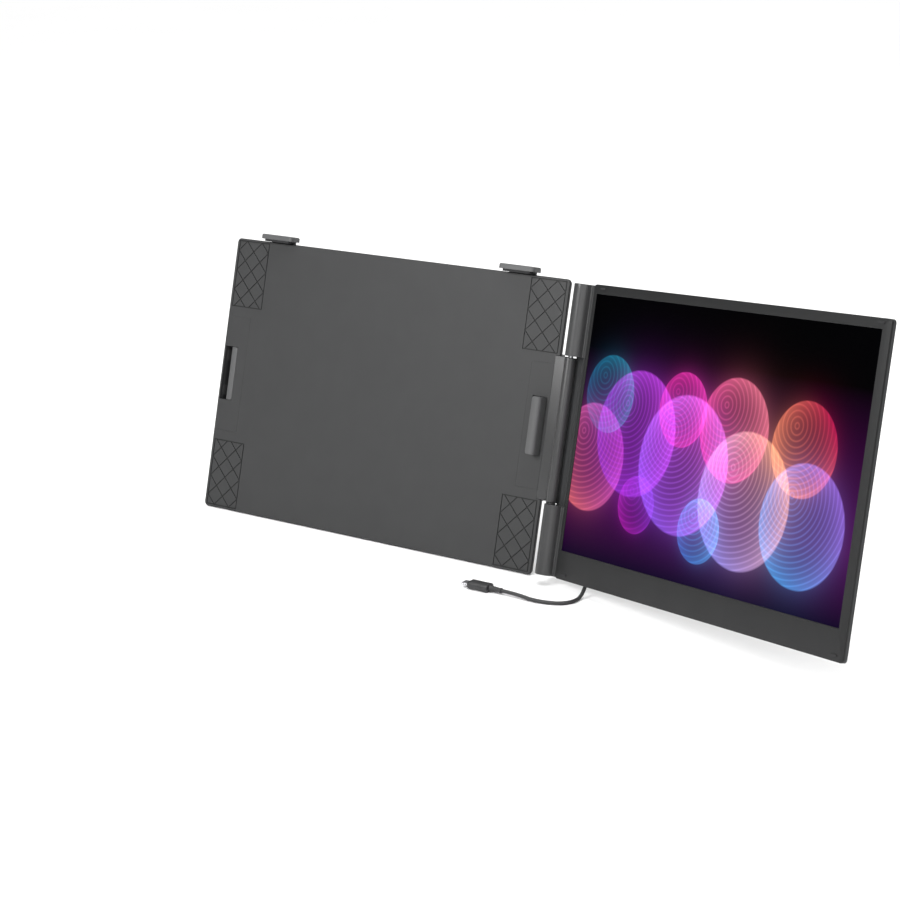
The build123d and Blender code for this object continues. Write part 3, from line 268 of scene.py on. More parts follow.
def finish_mesh(name, verts, faces, place, uv=None, angle=32):
    """A closed mesh from points and faces, its normals outward, smooth up to an angle."""
    mesh = bpy.data.meshes.new(name)
    mesh.from_pydata(place(np.asarray(verts, float)).tolist(), [], faces)
    if uv is not None:
        layer = mesh.uv_layers.new(name="surface")
        loops = np.zeros(len(mesh.loops), int)
        mesh.loops.foreach_get("vertex_index", loops)
        layer.data.foreach_set("uv", uv[loops].ravel())
    shape = bmesh.new()
    shape.from_mesh(mesh)
    bmesh.ops.recalc_face_normals(shape, faces=shape.faces)
    shape.to_mesh(mesh)
    shape.free()
    mesh.polygons.foreach_set("use_smooth", np.ones(len(mesh.polygons), bool))
    mesh.set_sharp_from_angle(angle=math.radians(angle))
    mesh.validate()
    piece = bpy.data.objects.new(name, mesh)
    bpy.context.scene.collection.objects.link(piece)
    return piece


def loft(name, rings, place, loop=False, angle=32):
    """Skin over rings (stations, points, 3): ring i is joined to i + 1, and the ends are
    closed flat, or the last ring is joined to the first where loop is set."""
    m, n = rings.shape[:2]
    i = np.arange(m if loop else m - 1)[:, None]
    j = np.arange(n)[None, :]
    after, k = (i + 1) % m, (j + 1) % n
    quads = np.stack([i * n + j, i * n + k, after * n + k, after * n + j], -1)
    faces = quads.reshape(-1, 4).tolist()
    if not loop:
        faces.append(list(range(n))[::-1])
        faces.append(list(range((m - 1) * n, m * n)))
    return finish_mesh(name, rings.reshape(-1, 3), faces, place, angle=angle)


def frame_outline(x0, x1, z0, z1, radius, steps=6):
    """Rounded rectangle between four sides: each corner is its centre plus the radius
    times the cosine and sine of a quarter turn."""
    turn = np.arange(4)[:, None] * np.pi / 2 + np.linspace(0, np.pi / 2, steps + 1)
    cx = np.array([x1 - radius, x0 + radius, x0 + radius, x1 - radius])[:, None]
    cz = np.array([z1 - radius, z1 - radius, z0 + radius, z0 + radius])[:, None]
    return np.stack([cx + radius * np.cos(turn), cz + radius * np.sin(turn)], -1).reshape(-1, 2)


def upright(outline, y):
    """An outline of x and z as a ring at depth y."""
    return np.insert(outline, 1, y, axis=1)


def level(outline, z):
    """An outline of x and y as a ring at height z."""
    return np.insert(outline, 2, z, axis=1)


def spaced(points, count):
    """A closed outline resampled at equal steps of its own length."""
    closed = np.vstack([points, points[:1]])
    run = np.concatenate([[0], np.cumsum(np.hypot(*np.diff(closed, axis=0).T))])
    at = np.linspace(0, run[-1], count, endpoint=False)
    return np.stack([np.interp(at, run, closed[:, c]) for c in (0, 1)], -1)


def inset(outline, depth):
    """An outline moved inward along its normals, each the turned chord of its neighbours."""
    chord = np.roll(outline, -1, axis=0) - np.roll(outline, 1, axis=0)
    normal = np.stack([chord[:, 1], -chord[:, 0]], -1)
    normal /= np.maximum(np.hypot(*normal.T), 1e-9)[:, None]
    x, y = outline.T
    turn = np.sum(x * np.roll(y, -1) - np.roll(x, -1) * y)
    return outline - normal * depth * math.copysign(1, turn)


def arc(cx, cy, radius, start, end, count):
    """Points on a circle from one angle to another, in degrees."""
    turn = np.radians(np.linspace(start, end, count))
    return np.stack([cx + radius * np.cos(turn), cy + radius * np.sin(turn)], -1)


def ring_outline(cx, cy, radius, count):
    """A whole circle as an outline, its first point to the right."""
    return arc(cx, cy, radius, 0, 360, count + 1)[:-1]


def rounded_column(name, outline, z0, z1, round0, round1, place, steps=4):
    """A section carried along Z whose ends roll in: at an angle a of the roll the section
    is inset by r - r cos a, and stands r - r sin a short of the end."""
    rings = []
    quarter = np.linspace(0, np.pi / 2, steps)
    for radius, end, way, turns in ((round0, z0, 1, quarter[::-1]), (round1, z1, -1, quarter)):
        for a in turns:
            z = end + way * radius * (1 - math.sin(a))
            rings.append(level(inset(outline, radius * (1 - math.cos(a))), z))
    return loft(name, np.array(rings), place)


# Finishes


def new_material(name):
    """An empty node material with its output, its shader and the object's own coordinates."""
    material = bpy.data.materials.new(name)
    material.use_nodes = True
    tree = material.node_tree
    tree.nodes.clear()
    output = tree.nodes.new("ShaderNodeOutputMaterial")
    shader = tree.nodes.new("ShaderNodeBsdfPrincipled")
    place = tree.nodes.new("ShaderNodeTexCoord")
    tree.links.new(shader.outputs["BSDF"], output.inputs["Surface"])
    return material, tree, shader, place.outputs["Object"]


def noise(tree, place, scale, detail=2.0, stretch=None):
    """A noise value on the object's coordinates, drawn out where a stretch is given."""
    if stretch:
        mapping = tree.nodes.new("ShaderNodeMapping")
        mapping.inputs["Scale"].default_value = stretch
        tree.links.new(place, mapping.inputs["Vector"])
        place = mapping.outputs["Vector"]
    node = tree.nodes.new("ShaderNodeTexNoise")
    node.inputs["Scale"].default_value = scale
    node.inputs["Detail"].default_value = detail
    tree.links.new(place, node.inputs["Vector"])
    return node.outputs["Fac"]


def spread(tree, value, low, high, source=(0.3, 0.7)):
    """A value carried from its own range to another."""
    node = tree.nodes.new("ShaderNodeMapRange")
    for name, number in zip(("From Min", "From Max", "To Min", "To Max"), (*source, low, high)):
        node.inputs[name].default_value = number
    tree.links.new(value, node.inputs["Value"])
    return node.outputs["Result"]


def math_node(tree, kind, *values):
    """A scalar sum, product or function of values and sockets."""
    node = tree.nodes.new("ShaderNodeMath")
    node.operation = kind
    for socket, value in zip(node.inputs, values):
        if isinstance(value, (int, float)):
            socket.default_value = value
        else:
            tree.links.new(value, socket)
    return node.outputs[0]


def tinted(tree, value, base, dark, light):
    """A colour that runs from a darker to a lighter tone of its base."""
    ramp = tree.nodes.new("ShaderNodeValToRGB")
    low, high = ramp.color_ramp.elements
    low.position, high.position = 0.3, 0.7
    low.color = (*(c * dark for c in base), 1)
    high.color = (*(c * light for c in base), 1)
    tree.links.new(value, ramp.inputs["Fac"])
    return ramp.outputs["Color"]


def bumped(tree, shader, value, depth):
    """Height from a value into the shader's normal."""
    bump = tree.nodes.new("ShaderNodeBump")
    bump.inputs["Strength"].default_value = 1.0
    bump.inputs["Distance"].default_value = depth
    tree.links.new(value, bump.inputs["Height"])
    tree.links.new(bump.outputs["Normal"], shader.inputs["Normal"])


def paint_shade_by_depth(tree, place, tone, darkest, fall, end):
    """Painted shade: a tone made darker in grooves or wells, where shade falls. Depth is the dot
    product of the place and the bracket's inward normal. The tone drops to its darkest share over
    the fall, and is whole again a quarter past the end, so that what lies deeper keeps its own
    tone."""
    depth = tree.nodes.new("ShaderNodeVectorMath")
    depth.operation = "DOT_PRODUCT"
    depth.inputs[1].default_value = (0, math.cos(LEAN), -math.sin(LEAN))
    tree.links.new(place, depth.inputs[0])
    painted_shade = spread(tree, depth.outputs["Value"], 1.0, darkest, fall)
    deep = spread(tree, depth.outputs["Value"], 0.0, 1.0, (end, 1.25 * end))
    shaded = tree.nodes.new("ShaderNodeVectorMath")
    shaded.operation = "SCALE"
    tree.links.new(tone, shaded.inputs[0])
    tree.links.new(math_node(tree, "MAXIMUM", painted_shade, deep), shaded.inputs["Scale"])
    return shaded.outputs["Vector"]


def moulded(name, base, rough=0.5, grain=2200, depth=0.00003, specular=0.5, painted_shade=None):
    """Spark-eroded plastic: fine grain, a slow drift of tone, and handling marks in its
    gloss. Given depths for painted shade, its grooves or wells are painted darker, as shade."""
    material, tree, shader, place = new_material(name)
    drift = noise(tree, place, 55, 4)
    fine = noise(tree, place, grain, 1)
    tone = tinted(tree, drift, base, 0.97, 1.03)
    # Painted shade: a darker tone in grooves or wells
    if painted_shade:
        tone = paint_shade_by_depth(tree, place, tone, *painted_shade)
    tree.links.new(tone, shader.inputs["Base Color"])
    smears = noise(tree, place, 45, 4, (1, 1, 0.35))
    tree.links.new(spread(tree, smears, rough - 0.03, rough + 0.04), shader.inputs["Roughness"])
    shader.inputs["Specular IOR Level"].default_value = specular
    bumped(tree, shader, fine, depth)
    return material


def brushed(name, base, rough, stretch):
    """Rolled or brushed metal: long fine scratches across its tone, gloss and height."""
    material, tree, shader, place = new_material(name)
    lines = noise(tree, place, 40, 3, stretch)
    tree.links.new(tinted(tree, lines, base, 0.82, 1.1), shader.inputs["Base Color"])
    tree.links.new(spread(tree, lines, rough - 0.08, rough + 0.12), shader.inputs["Roughness"])
    shader.inputs["Metallic"].default_value = 1.0
    bumped(tree, shader, lines, 0.00001)
    return material


def soft_rubber(name, base):
    """Matte rubber: a close pebble of cells under a dusty drift of tone."""
    material, tree, shader, place = new_material(name)
    cells = tree.nodes.new("ShaderNodeTexVoronoi")
    cells.inputs["Scale"].default_value = 1700
    tree.links.new(place, cells.inputs["Vector"])
    drift = noise(tree, place, 120, 4)
    tree.links.new(tinted(tree, drift, base, 0.85, 1.25), shader.inputs["Base Color"])
    tree.links.new(spread(tree, drift, 0.74, 0.9), shader.inputs["Roughness"])
    bumped(tree, shader, cells.outputs["Distance"], 0.00006)
    return material


def solder_mask(name):
    """Circuit board: blocks of green mask over faint copper lines."""
    material, tree, shader, place = new_material(name)
    lines = tree.nodes.new("ShaderNodeTexBrick")
    lines.inputs["Scale"].default_value = 260
    lines.inputs["Mortar Size"].default_value = 0.03
    lines.inputs["Color1"].default_value = (0.010, 0.075, 0.035, 1)
    lines.inputs["Color2"].default_value = (0.014, 0.095, 0.045, 1)
    lines.inputs["Mortar"].default_value = (0.10, 0.16, 0.05, 1)
    tree.links.new(place, lines.inputs["Vector"])
    tree.links.new(lines.outputs["Color"], shader.inputs["Base Color"])
    haze = noise(tree, place, 300)
    tree.links.new(spread(tree, haze, 0.25, 0.4), shader.inputs["Roughness"])
    bumped(tree, shader, lines.outputs["Fac"], 0.00003)
    return material


# The lit picture: soft overlapping discs, each with fine rings, over a dark ground.
# Per disc: centre and radius in panel heights, near colour, far colour, ring count
RINGS_LEFT, RINGS_UP = 0.30, 0.45
BODY_GAIN, BODY_BASE, RING_GAIN, HALO_GAIN, HALO_FALL = 0.50, 0.12, 0.26, 0.10, -5.0
TONE_WAY = (0.8, 0.6)
DISCS = (
    ((0.17, 0.63), 0.150, (0.00, 0.08, 0.20), (0.01, 0.22, 0.34), 7),
    ((0.10, 0.38), 0.210, (0.80, 0.16, 0.10), (0.45, 0.04, 0.50), 10),
    ((0.36, 0.50), 0.240, (0.16, 0.02, 0.50), (0.55, 0.06, 0.80), 12),
    ((0.62, 0.62), 0.140, (0.50, 0.01, 0.16), (0.85, 0.04, 0.45), 7),
    ((0.66, 0.42), 0.260, (0.24, 0.10, 0.85), (0.70, 0.14, 0.80), 13),
    ((0.92, 0.58), 0.190, (0.75, 0.02, 0.28), (0.90, 0.20, 0.30), 9),
    ((1.02, 0.34), 0.250, (0.30, 0.30, 0.95), (0.95, 0.42, 0.18), 12),
    ((1.30, 0.56), 0.170, (0.90, 0.30, 0.12), (0.60, 0.01, 0.08), 8),
    ((1.34, 0.30), 0.220, (0.04, 0.38, 0.85), (0.30, 0.16, 0.75), 11),
    ((0.80, 0.20), 0.120, (0.03, 0.16, 0.55), (0.08, 0.42, 0.85), 6),
    ((0.42, 0.24), 0.110, (0.36, 0.01, 0.34), (0.12, 0.02, 0.45), 5),
)


def disc_light(tree, plane, centre, radius, near, far, rings):
    """Light of one disc: with d its distance over the radius, the tone runs from near to
    far across it, its body is d cubed, its rim fades in a narrow step at d = 1, a sine's
    eighth power draws rings about a shifted middle, and a halo of exp(-5 (d - 1)) lies
    outside it."""
    shifted = (centre[0] - RINGS_LEFT * radius, centre[1] + RINGS_UP * radius)
    shares = []
    for point in (centre, shifted):
        away = tree.nodes.new("ShaderNodeVectorMath")
        away.operation = "DISTANCE"
        away.inputs[1].default_value = (*point, 0)
        tree.links.new(plane, away.inputs[0])
        shares.append(math_node(tree, "DIVIDE", away.outputs["Value"], radius))
    d, ring = shares
    inside = spread(tree, d, 1.0, 0.0, (0.97, 1.0))
    cube = math_node(tree, "POWER", d, 3.0)
    body = math_node(tree, "MULTIPLY_ADD", cube, BODY_GAIN, BODY_BASE)
    wave = math_node(tree, "SINE", math_node(tree, "MULTIPLY", ring, rings * math.pi))
    crest = math_node(tree, "POWER", math_node(tree, "ABSOLUTE", wave), 8.0)
    fine = math_node(tree, "MULTIPLY", crest, RING_GAIN)
    core = math_node(tree, "MULTIPLY", math_node(tree, "ADD", body, fine), inside)
    outside = math_node(tree, "MAXIMUM", math_node(tree, "SUBTRACT", d, 1.0), 0.0)
    halo = math_node(tree, "EXPONENT", math_node(tree, "MULTIPLY", outside, HALO_FALL))
    glow = math_node(tree, "MULTIPLY_ADD", halo, HALO_GAIN, core)
    across = tree.nodes.new("ShaderNodeVectorMath")
    across.operation = "DOT_PRODUCT"
    across.inputs[1].default_value = (*TONE_WAY, 0)
    tree.links.new(plane, across.inputs[0])
    middle = TONE_WAY[0] * centre[0] + TONE_WAY[1] * centre[1]
    tone = spread(tree, across.outputs["Value"], 0.0, 1.0, (middle - radius, middle + radius))
    mix = tree.nodes.new("ShaderNodeMix")
    mix.data_type = "RGBA"
    mix.inputs[6].default_value = (*near, 1)
    mix.inputs[7].default_value = (*far, 1)
    tree.links.new(tone, mix.inputs[0])
    lit = tree.nodes.new("ShaderNodeVectorMath")
    lit.operation = "SCALE"
    tree.links.new(mix.outputs[2], lit.inputs[0])
    tree.links.new(glow, lit.inputs["Scale"])
    return lit.outputs[0]


def picture_material():
    """Lit panel: the discs' light added over a ground that runs from black to deep violet."""
    material, tree, shader, _ = new_material("lit_picture")
    uv = tree.nodes.new("ShaderNodeUVMap")
    uv.uv_map = "surface"
    plane = uv.outputs["UV"]
    parts = tree.nodes.new("ShaderNodeSeparateXYZ")
    tree.links.new(plane, parts.inputs[0])
    ramp = tree.nodes.new("ShaderNodeValToRGB")
    low, high = ramp.color_ramp.elements
    low.position, low.color = 0.0, (0.006, 0.001, 0.018, 1)
    high.position, high.color = 0.80, (0.0, 0.0, 0.0002, 1)
    middle = ramp.color_ramp.elements.new(0.25)
    middle.color = (0.060, 0.003, 0.070, 1)
    tree.links.new(parts.outputs["Y"], ramp.inputs["Fac"])
    light = ramp.outputs["Color"]
    for disc in DISCS:
        total = tree.nodes.new("ShaderNodeVectorMath")
        total.operation = "ADD"
        tree.links.new(light, total.inputs[0])
        tree.links.new(disc_light(tree, plane, *disc), total.inputs[1])
        light = total.outputs[0]
    tree.links.new(light, shader.inputs["Emission Color"])
    shader.inputs["Emission Strength"].default_value = colours().glow
    shader.inputs["Base Color"].default_value = (0.0004, 0.0004, 0.0005, 1)
    shader.inputs["Roughness"].default_value = 0.3
    shader.inputs["Specular IOR Level"].default_value = 0.01
    return material


MATERIALS = {}

# Painted shade in grooves and wells: darkest share of the tone, the depths between which it falls,
# and where it ends, in metres
GROOVE_SHADE = (0.22, (0.00005, 0.0003), 0.0008)
WELL_SHADE = (0.25, (0.0015, 0.005), 0.02)
# Frame nodes given a finish with painted shade in their grooves or wells
PAINTED_SHADE_FINISH = {
    "bracket_front_cover": "engraved_shell_painted_shade",
    "side_module_left": "welled_shell_painted_shade",
    "side_module_right": "welled_shell_painted_shade",
}


def finish(name):
    """The finish of that slot name, made on its first use."""
    if name not in MATERIALS:
        c = colours()
        makers = {
            "shell": lambda: moulded("shell_plastic", c.shell, 0.52, specular=0.36),
            # Shell with painted shade in the front cover's grooves and in the side modules' wells
            "engraved_shell_painted_shade": lambda: moulded(
                "engraved_plastic", c.shell, 0.52, specular=0.36, painted_shade=GROOVE_SHADE),
            "welled_shell_painted_shade": lambda: moulded(
                "welled_plastic", c.shell, 0.52, specular=0.36, painted_shade=WELL_SHADE),
            "clip_plastic": lambda: moulded("clip_plastic", c.clip, 0.46, specular=0.48),
            "hinge_cover": lambda: moulded("hinge_cover_plastic", c.hinge, 0.36, specular=0.46),
            "bezel": lambda: moulded("bezel_plastic", c.bezel, 0.50, specular=0.26),
            "rear_shell": lambda: moulded("rear_plastic", c.rear, 0.55, 1600, 0.00005, 0.36),
            "screen_glass": picture_material,
            "rubber_pad": lambda: soft_rubber("pad_rubber", c.rubber),
            "steel": lambda: brushed("hinge_steel", (0.55, 0.56, 0.57), 0.32, (60, 60, 1)),
            "screw_black": lambda: brushed(
                "black_screw_steel", (0.045, 0.045, 0.047), 0.35, (1, 1, 1)),
            "guide_plastic": lambda: moulded("guide_plastic", (0.12, 0.12, 0.12), 0.45),
            "circuit_board": lambda: solder_mask("green_board"),
            "port_steel": lambda: brushed("port_nickel", (0.60, 0.60, 0.62), 0.22, (1, 1, 20)),
            "key_plastic": lambda: moulded("key_plastic", (0.060, 0.061, 0.063), 0.38),
            "cable_sheath": lambda: moulded("cord_sheath", c.cord, 0.55, 1500, 0.00006),
            "plug_plastic": lambda: moulded("plug_plastic", c.plug, 0.48),
        }
        MATERIALS[name] = makers[name]()
    return MATERIALS[name]


def settle(piece, body, slot, *nodes):
    """Gives a piece the finish of its slot, hangs it on its body, and hides the frame nodes that
    it stands for.
    """
    piece.data.materials.clear()
    piece.data.materials.append(finish(slot))
    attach(piece, body)
    if nodes:
        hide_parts(*nodes)
    return piece


# Pieces


def make_cord():
    """Cord: a smooth NURBS curve of order three, drawn by the route's control points."""
    curve = bpy.data.curves.new("cord", "CURVE")
    curve.dimensions = "3D"
    curve.bevel_depth = CORD_R
    curve.bevel_resolution = 5
    curve.use_fill_caps = True
    curve.resolution_u = 16
    spline = curve.splines.new("NURBS")
    spline.points.add(len(CORD_POINTS) - 1)
    for point, place in zip(spline.points, CORD_POINTS):
        point.co = (*place, 1)
    spline.order_u = 3
    spline.use_endpoint_u = True
    cord = bpy.data.objects.new("cord", curve)
    bpy.context.scene.collection.objects.link(cord)
    return settle(cord, "screen", "cable_sheath", "usb_cable")


def plug_body(name, place):
    """Overmould: a rounded block whose ends roll in, with shallow grip grooves across its
    sides. At a groove the section is inset by a cosine dip."""
    s = sizes()
    wide, thick = PLUG_HALF_W, PLUG_HALF_T
    outline = frame_outline(-wide, wide, -thick, thick, PLUG_R, 8)
    low = -PLUG_LENGTH + np.array([0, 0.25, 0.8])
    z = np.concatenate([low, np.linspace(-18.6, -4.0, 60), [-0.7, -0.2, 0]])
    short = np.maximum(PLUG_ROLL - np.minimum(z + PLUG_LENGTH, -z), 0)
    roll = PLUG_ROLL - np.sqrt(np.maximum(PLUG_ROLL ** 2 - short ** 2, 0))
    grip = np.zeros_like(z)
    if s.grip_count:
        phase = (z + GRIP_START) / GRIP_PITCH
        inside = (phase > 0) & (phase < s.grip_count)
        grip = np.where(inside, s.grip_depth / MM * (0.5 - 0.5 * np.cos(2 * np.pi * phase)), 0)
    rings = np.array([level(inset(outline, r + g), h) for r, g, h in zip(roll, grip, z)])
    return loft(name, rings, place, angle=50)


def relief_sleeve(name, place):
    """Strain relief: a lathed taper from 2.7 to 2.0 mm whose radius dips at each rib gap,
    and stands up a little at its end."""
    z = np.linspace(-PLUG_LENGTH, -PLUG_LENGTH - RELIEF_LENGTH, 61)
    share = (z + PLUG_LENGTH) / -RELIEF_LENGTH
    radius = RELIEF_R - RELIEF_TAPER * share
    ribbed = (share > RIB_FROM) & (share < RIB_TO)
    phase = sizes().rib_count * (share - RIB_FROM) / (RIB_TO - RIB_FROM)
    radius -= np.where(ribbed, RIB_DEPTH * (0.5 - 0.5 * np.cos(2 * np.pi * phase)), 0)
    radius += np.where(share > RELIEF_END, RELIEF_END_GROW, 0)
    turn = np.linspace(0, 2 * np.pi, 32, endpoint=False)
    rings = radius[:, None, None] * np.stack([np.cos(turn), np.sin(turn), 0 * turn], -1)[None]
    rings[..., 2] = z[:, None]
    return loft(name, rings, place, angle=60)


def make_plugs():
    """Both plugs' bodies and strain reliefs; the metal tips stay the frame's own."""
    made = []
    for which, place in (("plug_a", on_plug_a), ("plug_b", on_plug_b)):
        body = plug_body(which + "_body", place)
        made.append(settle(body, "screen", "plug_plastic", which + "_overmould"))
        sleeve = relief_sleeve(which + "_relief", place)
        made.append(settle(sleeve, "screen", "cable_sheath", which + "_strain_relief"))
    return made


def make_bezel():
    """Front frame: one closed section carried round the screen. Each ring lies between the
    outer outline and the window's, or on one of them, with a bevel at both front edges."""
    s = sizes()
    edge, lip = s.bezel_edge / MM, s.window_edge / MM
    x0, z0 = ACTIVE_X0, ACTIVE_Z0
    x1, z1 = x0 + PANEL_W, z0 + PANEL_H

    def window(grow, y):
        sides = (x0 - grow, x1 + grow, z0 - grow, z1 + grow)
        return upright(frame_outline(*sides, WINDOW_R + grow), y)

    def outer(less, hinge_side, y):
        sides = (SCREEN_X0 + hinge_side, SCREEN_X1 - less, SCREEN_Z0 + less, SCREEN_Z1 - less)
        return upright(frame_outline(*sides, CORNER_R - less), y)

    rings = [
        window(0, FACE_Y + BEZEL_T),
        window(0, FACE_Y + lip),
        window(lip, FACE_Y),
        outer(edge, HINGE_SIDE_EASE, FACE_Y),
        outer(0.3 * edge, 0.25 * HINGE_SIDE_EASE, FACE_Y + 0.3 * edge),
        outer(0, 0, FACE_Y + edge),
        outer(0, 0, SPLIT_Y),
        outer(SCREEN_WALL, SCREEN_WALL, SPLIT_Y),
        outer(SCREEN_WALL, SCREEN_WALL, FACE_Y + BEZEL_T),
    ]
    skin = loft("bezel_frame", np.array(rings), on_screen, loop=True, angle=25)
    settle(skin, "screen", "bezel", "front_bezel")


def make_picture():
    """Lit panel: a flat slab whose front carries the picture in panel heights."""
    x0, z0, over = ACTIVE_X0, ACTIVE_Z0, PANEL_OVER
    rim = frame_outline(x0 - over, x0 + PANEL_W + over, z0 - over, z0 + PANEL_H + over, PANEL_R, 2)
    flat = np.vstack([upright(rim, LCD_Y), upright(rim, LCD_Y + LCD_T)])
    n = len(rim)
    j = np.arange(n)
    walls = np.stack([j, (j + 1) % n, (j + 1) % n + n, j + n], -1).tolist()
    faces = walls + [list(range(n)), list(range(n, 2 * n))[::-1]]
    uv = (flat[:, [0, 2]] - [x0, z0]) / PANEL_H
    panel = finish_mesh("lit_panel", flat, faces, on_screen, uv=uv)
    settle(panel, "screen", "screen_glass", "lcd_panel")


def barrel_section(count=128):
    """Barrel cover's section. The knuckle's circle makes its left side. From BARREL_TURN
    degrees past the left a large arc goes on from it smoothly and makes the front. A small
    concave arc joins that to the bezel's face, which leads on to the cover's back, and from
    the back's corner a straight line touches the knuckle's circle."""
    fat = (BARREL_FAT_R - KNUCKLE_R) * arc(0, 0, 1, BARREL_TURN, BARREL_TURN, 1)[0]
    dip = FACE_Y - CREASE_R
    crease_x = fat[0] + math.sqrt((BARREL_FAT_R + CREASE_R) ** 2 - (dip - fat[1]) ** 2)
    meet = math.degrees(math.atan2(dip - fat[1], crease_x - fat[0]))
    front = arc(*fat, BARREL_FAT_R, 180 + BARREL_TURN, 360 + meet, 120)
    hollow = arc(crease_x, dip, CREASE_R, 180 + meet, 90, 12)
    corner = np.array([BARREL_BACK_X, BACK_Y - SCREEN_WALL])
    touch = math.degrees(math.atan2(*corner[::-1]) + math.acos(KNUCKLE_R / np.hypot(*corner)))
    side = SCREEN_X0 - 0.05
    back = [[side, FACE_Y], [side, BACK_Y], corner]
    left = arc(0, 0, KNUCKLE_R, touch, 180 + BARREL_TURN, 30)[:-1]
    return spaced(np.vstack([front, hollow[1:], back, left]), count)


def make_barrels():
    """Barrel covers: the section carried along the hinge, its outer end rolled in, and a
    round bore from the inner end, joined to the section point by point by its angle."""
    roll = sizes().barrel_round / MM
    section = barrel_section()
    turn = np.unwrap(np.arctan2(section[:, 1], section[:, 0]) % (2 * np.pi))
    turn = np.maximum.accumulate(turn)
    bore = BARREL_BORE_R * np.stack([np.cos(turn), np.sin(turn)], -1)
    for which, side, tip in (("upper", 1, BARREL_TOP), ("lower", -1, BARREL_BOTTOM)):
        stations = [(bore, BARREL_BORE_END), (bore, BARREL_Z0)]
        stations += [(inset(section, BARREL_EASE), BARREL_Z0), (section, BARREL_Z0 + BARREL_EASE)]
        stations += [(section, z) for z in np.linspace(BARREL_Z0 + 6, tip - roll - 3, 9)]
        for a in np.linspace(0, np.pi / 2, 6):
            short = roll * (1 - math.sin(a))
            stations.append((inset(section, roll * (1 - math.cos(a))), tip - short))
        rings = np.array([level(outline, side * z) for outline, z in stations])
        skin = loft("barrel_skin_" + which, rings, on_screen, angle=40)
        settle(skin, "screen", "hinge_cover", "barrel_cover_" + which)


def steel_edge(side):
    """The steel arm's face on one side, from the bracket to the bore, drawn off its middle
    line by half its thickness and a hair. Also the arm's way, as a unit vector."""
    half = STEEL_T / 2 + STEEL_FIT
    mid = STEEL_Y + STEEL_T / 2
    bend = np.array([WEB_X + 0.6, mid])
    way = AXIS - bend
    way /= np.hypot(*way)
    off = np.array([way[1], -way[0]]) * half * side
    slope = (1 - way[0]) / -way[1]
    mitre = bend + np.array([-slope, -1.0]) * half * side
    reach = math.sqrt(BORE_R ** 2 - half ** 2)
    return np.array([LEAF_X, mid - half * side]), mitre, AXIS - way * reach + off, way


def swollen_arc(start, end, count):
    """The knuckle's back: its radius grows by the swell times the squared cosine of the
    angle from the middle of the side that faces the screen."""
    points = arc(0, 0, 1, start, end, count)
    facing = np.clip(points @ [math.cos(SWELL_AT), math.sin(SWELL_AT)], 0, 1)
    return points * (KNUCKLE_R + sizes().swell / MM * facing[:, None] ** 2) + AXIS


def leaf_section(front):
    """Section of one half of the leaf and knuckle: flat, bent web, then the outer arc to
    the split, the split's own line, the shaft's bore, and back along the steel."""
    start, mitre, near, way = steel_edge(1 if front else -1)
    along = math.degrees(math.atan2(way[1], way[0])) % 360
    if front:
        web = arc(WEB_X - 1.7, WEB_BEND_R, WEB_BEND_R, -90, WEB_BEND_END, 8)
        knuckle = arc(*AXIS, KNUCKLE_R, WEB_ANGLE_FRONT, along, 30)
        outer = np.vstack([[LEAF_X, 0.0], web, knuckle])
        bore = arc(*AXIS, BORE_R, along, along - BORE_TURN, 16)
    else:
        web = np.array([[LEAF_X, LEAF_T], [WEB_X + 1.0, LEAF_T]])
        outer = np.vstack([web, swollen_arc(WEB_ANGLE_BACK, along - 360, 34)])
        bore = arc(*AXIS, BORE_R, along, along + BORE_TURN, 16)
    split = AXIS + way * KNUCKLE_R / 2
    return np.vstack([outer, split, bore, near, mitre, start])


def make_leaf():
    """Both halves of the leaf and knuckle, their ends rolled in a little."""
    roll, half = sizes().leaf_round / MM, KNUCKLE_HALF_H
    for which, front in (("front", True), ("back", False)):
        name = "leaf_skin_" + which
        skin = rounded_column(name, leaf_section(front), -half, half, roll, roll, on_bracket)
        settle(skin, "bracket", "hinge_cover", "hinge_leaf_" + which)


def make_washer():
    """Washer in the hinge's lower gap: a flat ring about the shaft with eased edges, its
    section turned round the hinge axis."""
    rings = np.array([level(ring_outline(*AXIS, r, 48), -z) for r, z in WASHER])
    skin = loft("shaft_washer", rings, on_bracket, loop=True)
    settle(skin, "bracket", "hinge_cover")


def clip_surface():
    """Side clip: an L section carried along Z. Towards both ends the plate's free edge
    draws back as a quarter circle, so that its corners are round, and the whole section
    draws in by a small one."""
    corner, bend_r = sizes().clip_round / MM, sizes().clip_bend / MM
    x0, x1, y0 = CLIP_INNER_X, CLIP_OUTER_X, -CLIP_OUT
    wall, plate = x1 - CLIP_WALL_T, y0 + CLIP_PLATE_T
    free = [[x0, plate - CLIP_EASE], [x0, y0 + 0.5], [x0 + 0.15, y0 + 0.15], [x0 + 0.5, y0]]
    bend = arc(x1 - bend_r, y0 + bend_r, bend_r, -90, 0, 13)
    root = [[x1, CLIP_ROOT_Y - CLIP_EASE], [x1 - CLIP_EASE, CLIP_ROOT_Y], [wall, CLIP_ROOT_Y]]
    inner = arc(wall - CLIP_INNER_R, plate + CLIP_INNER_R, CLIP_INNER_R, 0, -90, 5)
    section = np.vstack([free, bend, root, inner, [[x0 + CLIP_EASE, plate]]])
    share = np.clip((x1 - bend_r - section[:, 0]) / (x1 - bend_r - x0), 0, 1)[:, None]
    dz = corner * (1 - np.cos(np.linspace(0, np.pi / 2, 8)))
    rings = []
    for z in np.concatenate([-CLIP_HALF_H + dz, [-10, 0, 10], CLIP_HALF_H - dz[::-1]]):
        left = CLIP_HALF_H - abs(z)
        draw = corner - math.sqrt(max(corner ** 2 - max(corner - left, 0) ** 2, 0))
        ease = CLIP_EASE - math.sqrt(max(CLIP_EASE ** 2 - max(CLIP_EASE - left, 0) ** 2, 0))
        rings.append(level(inset(section + share * [draw, 0], ease), z))
    return np.array(rings)


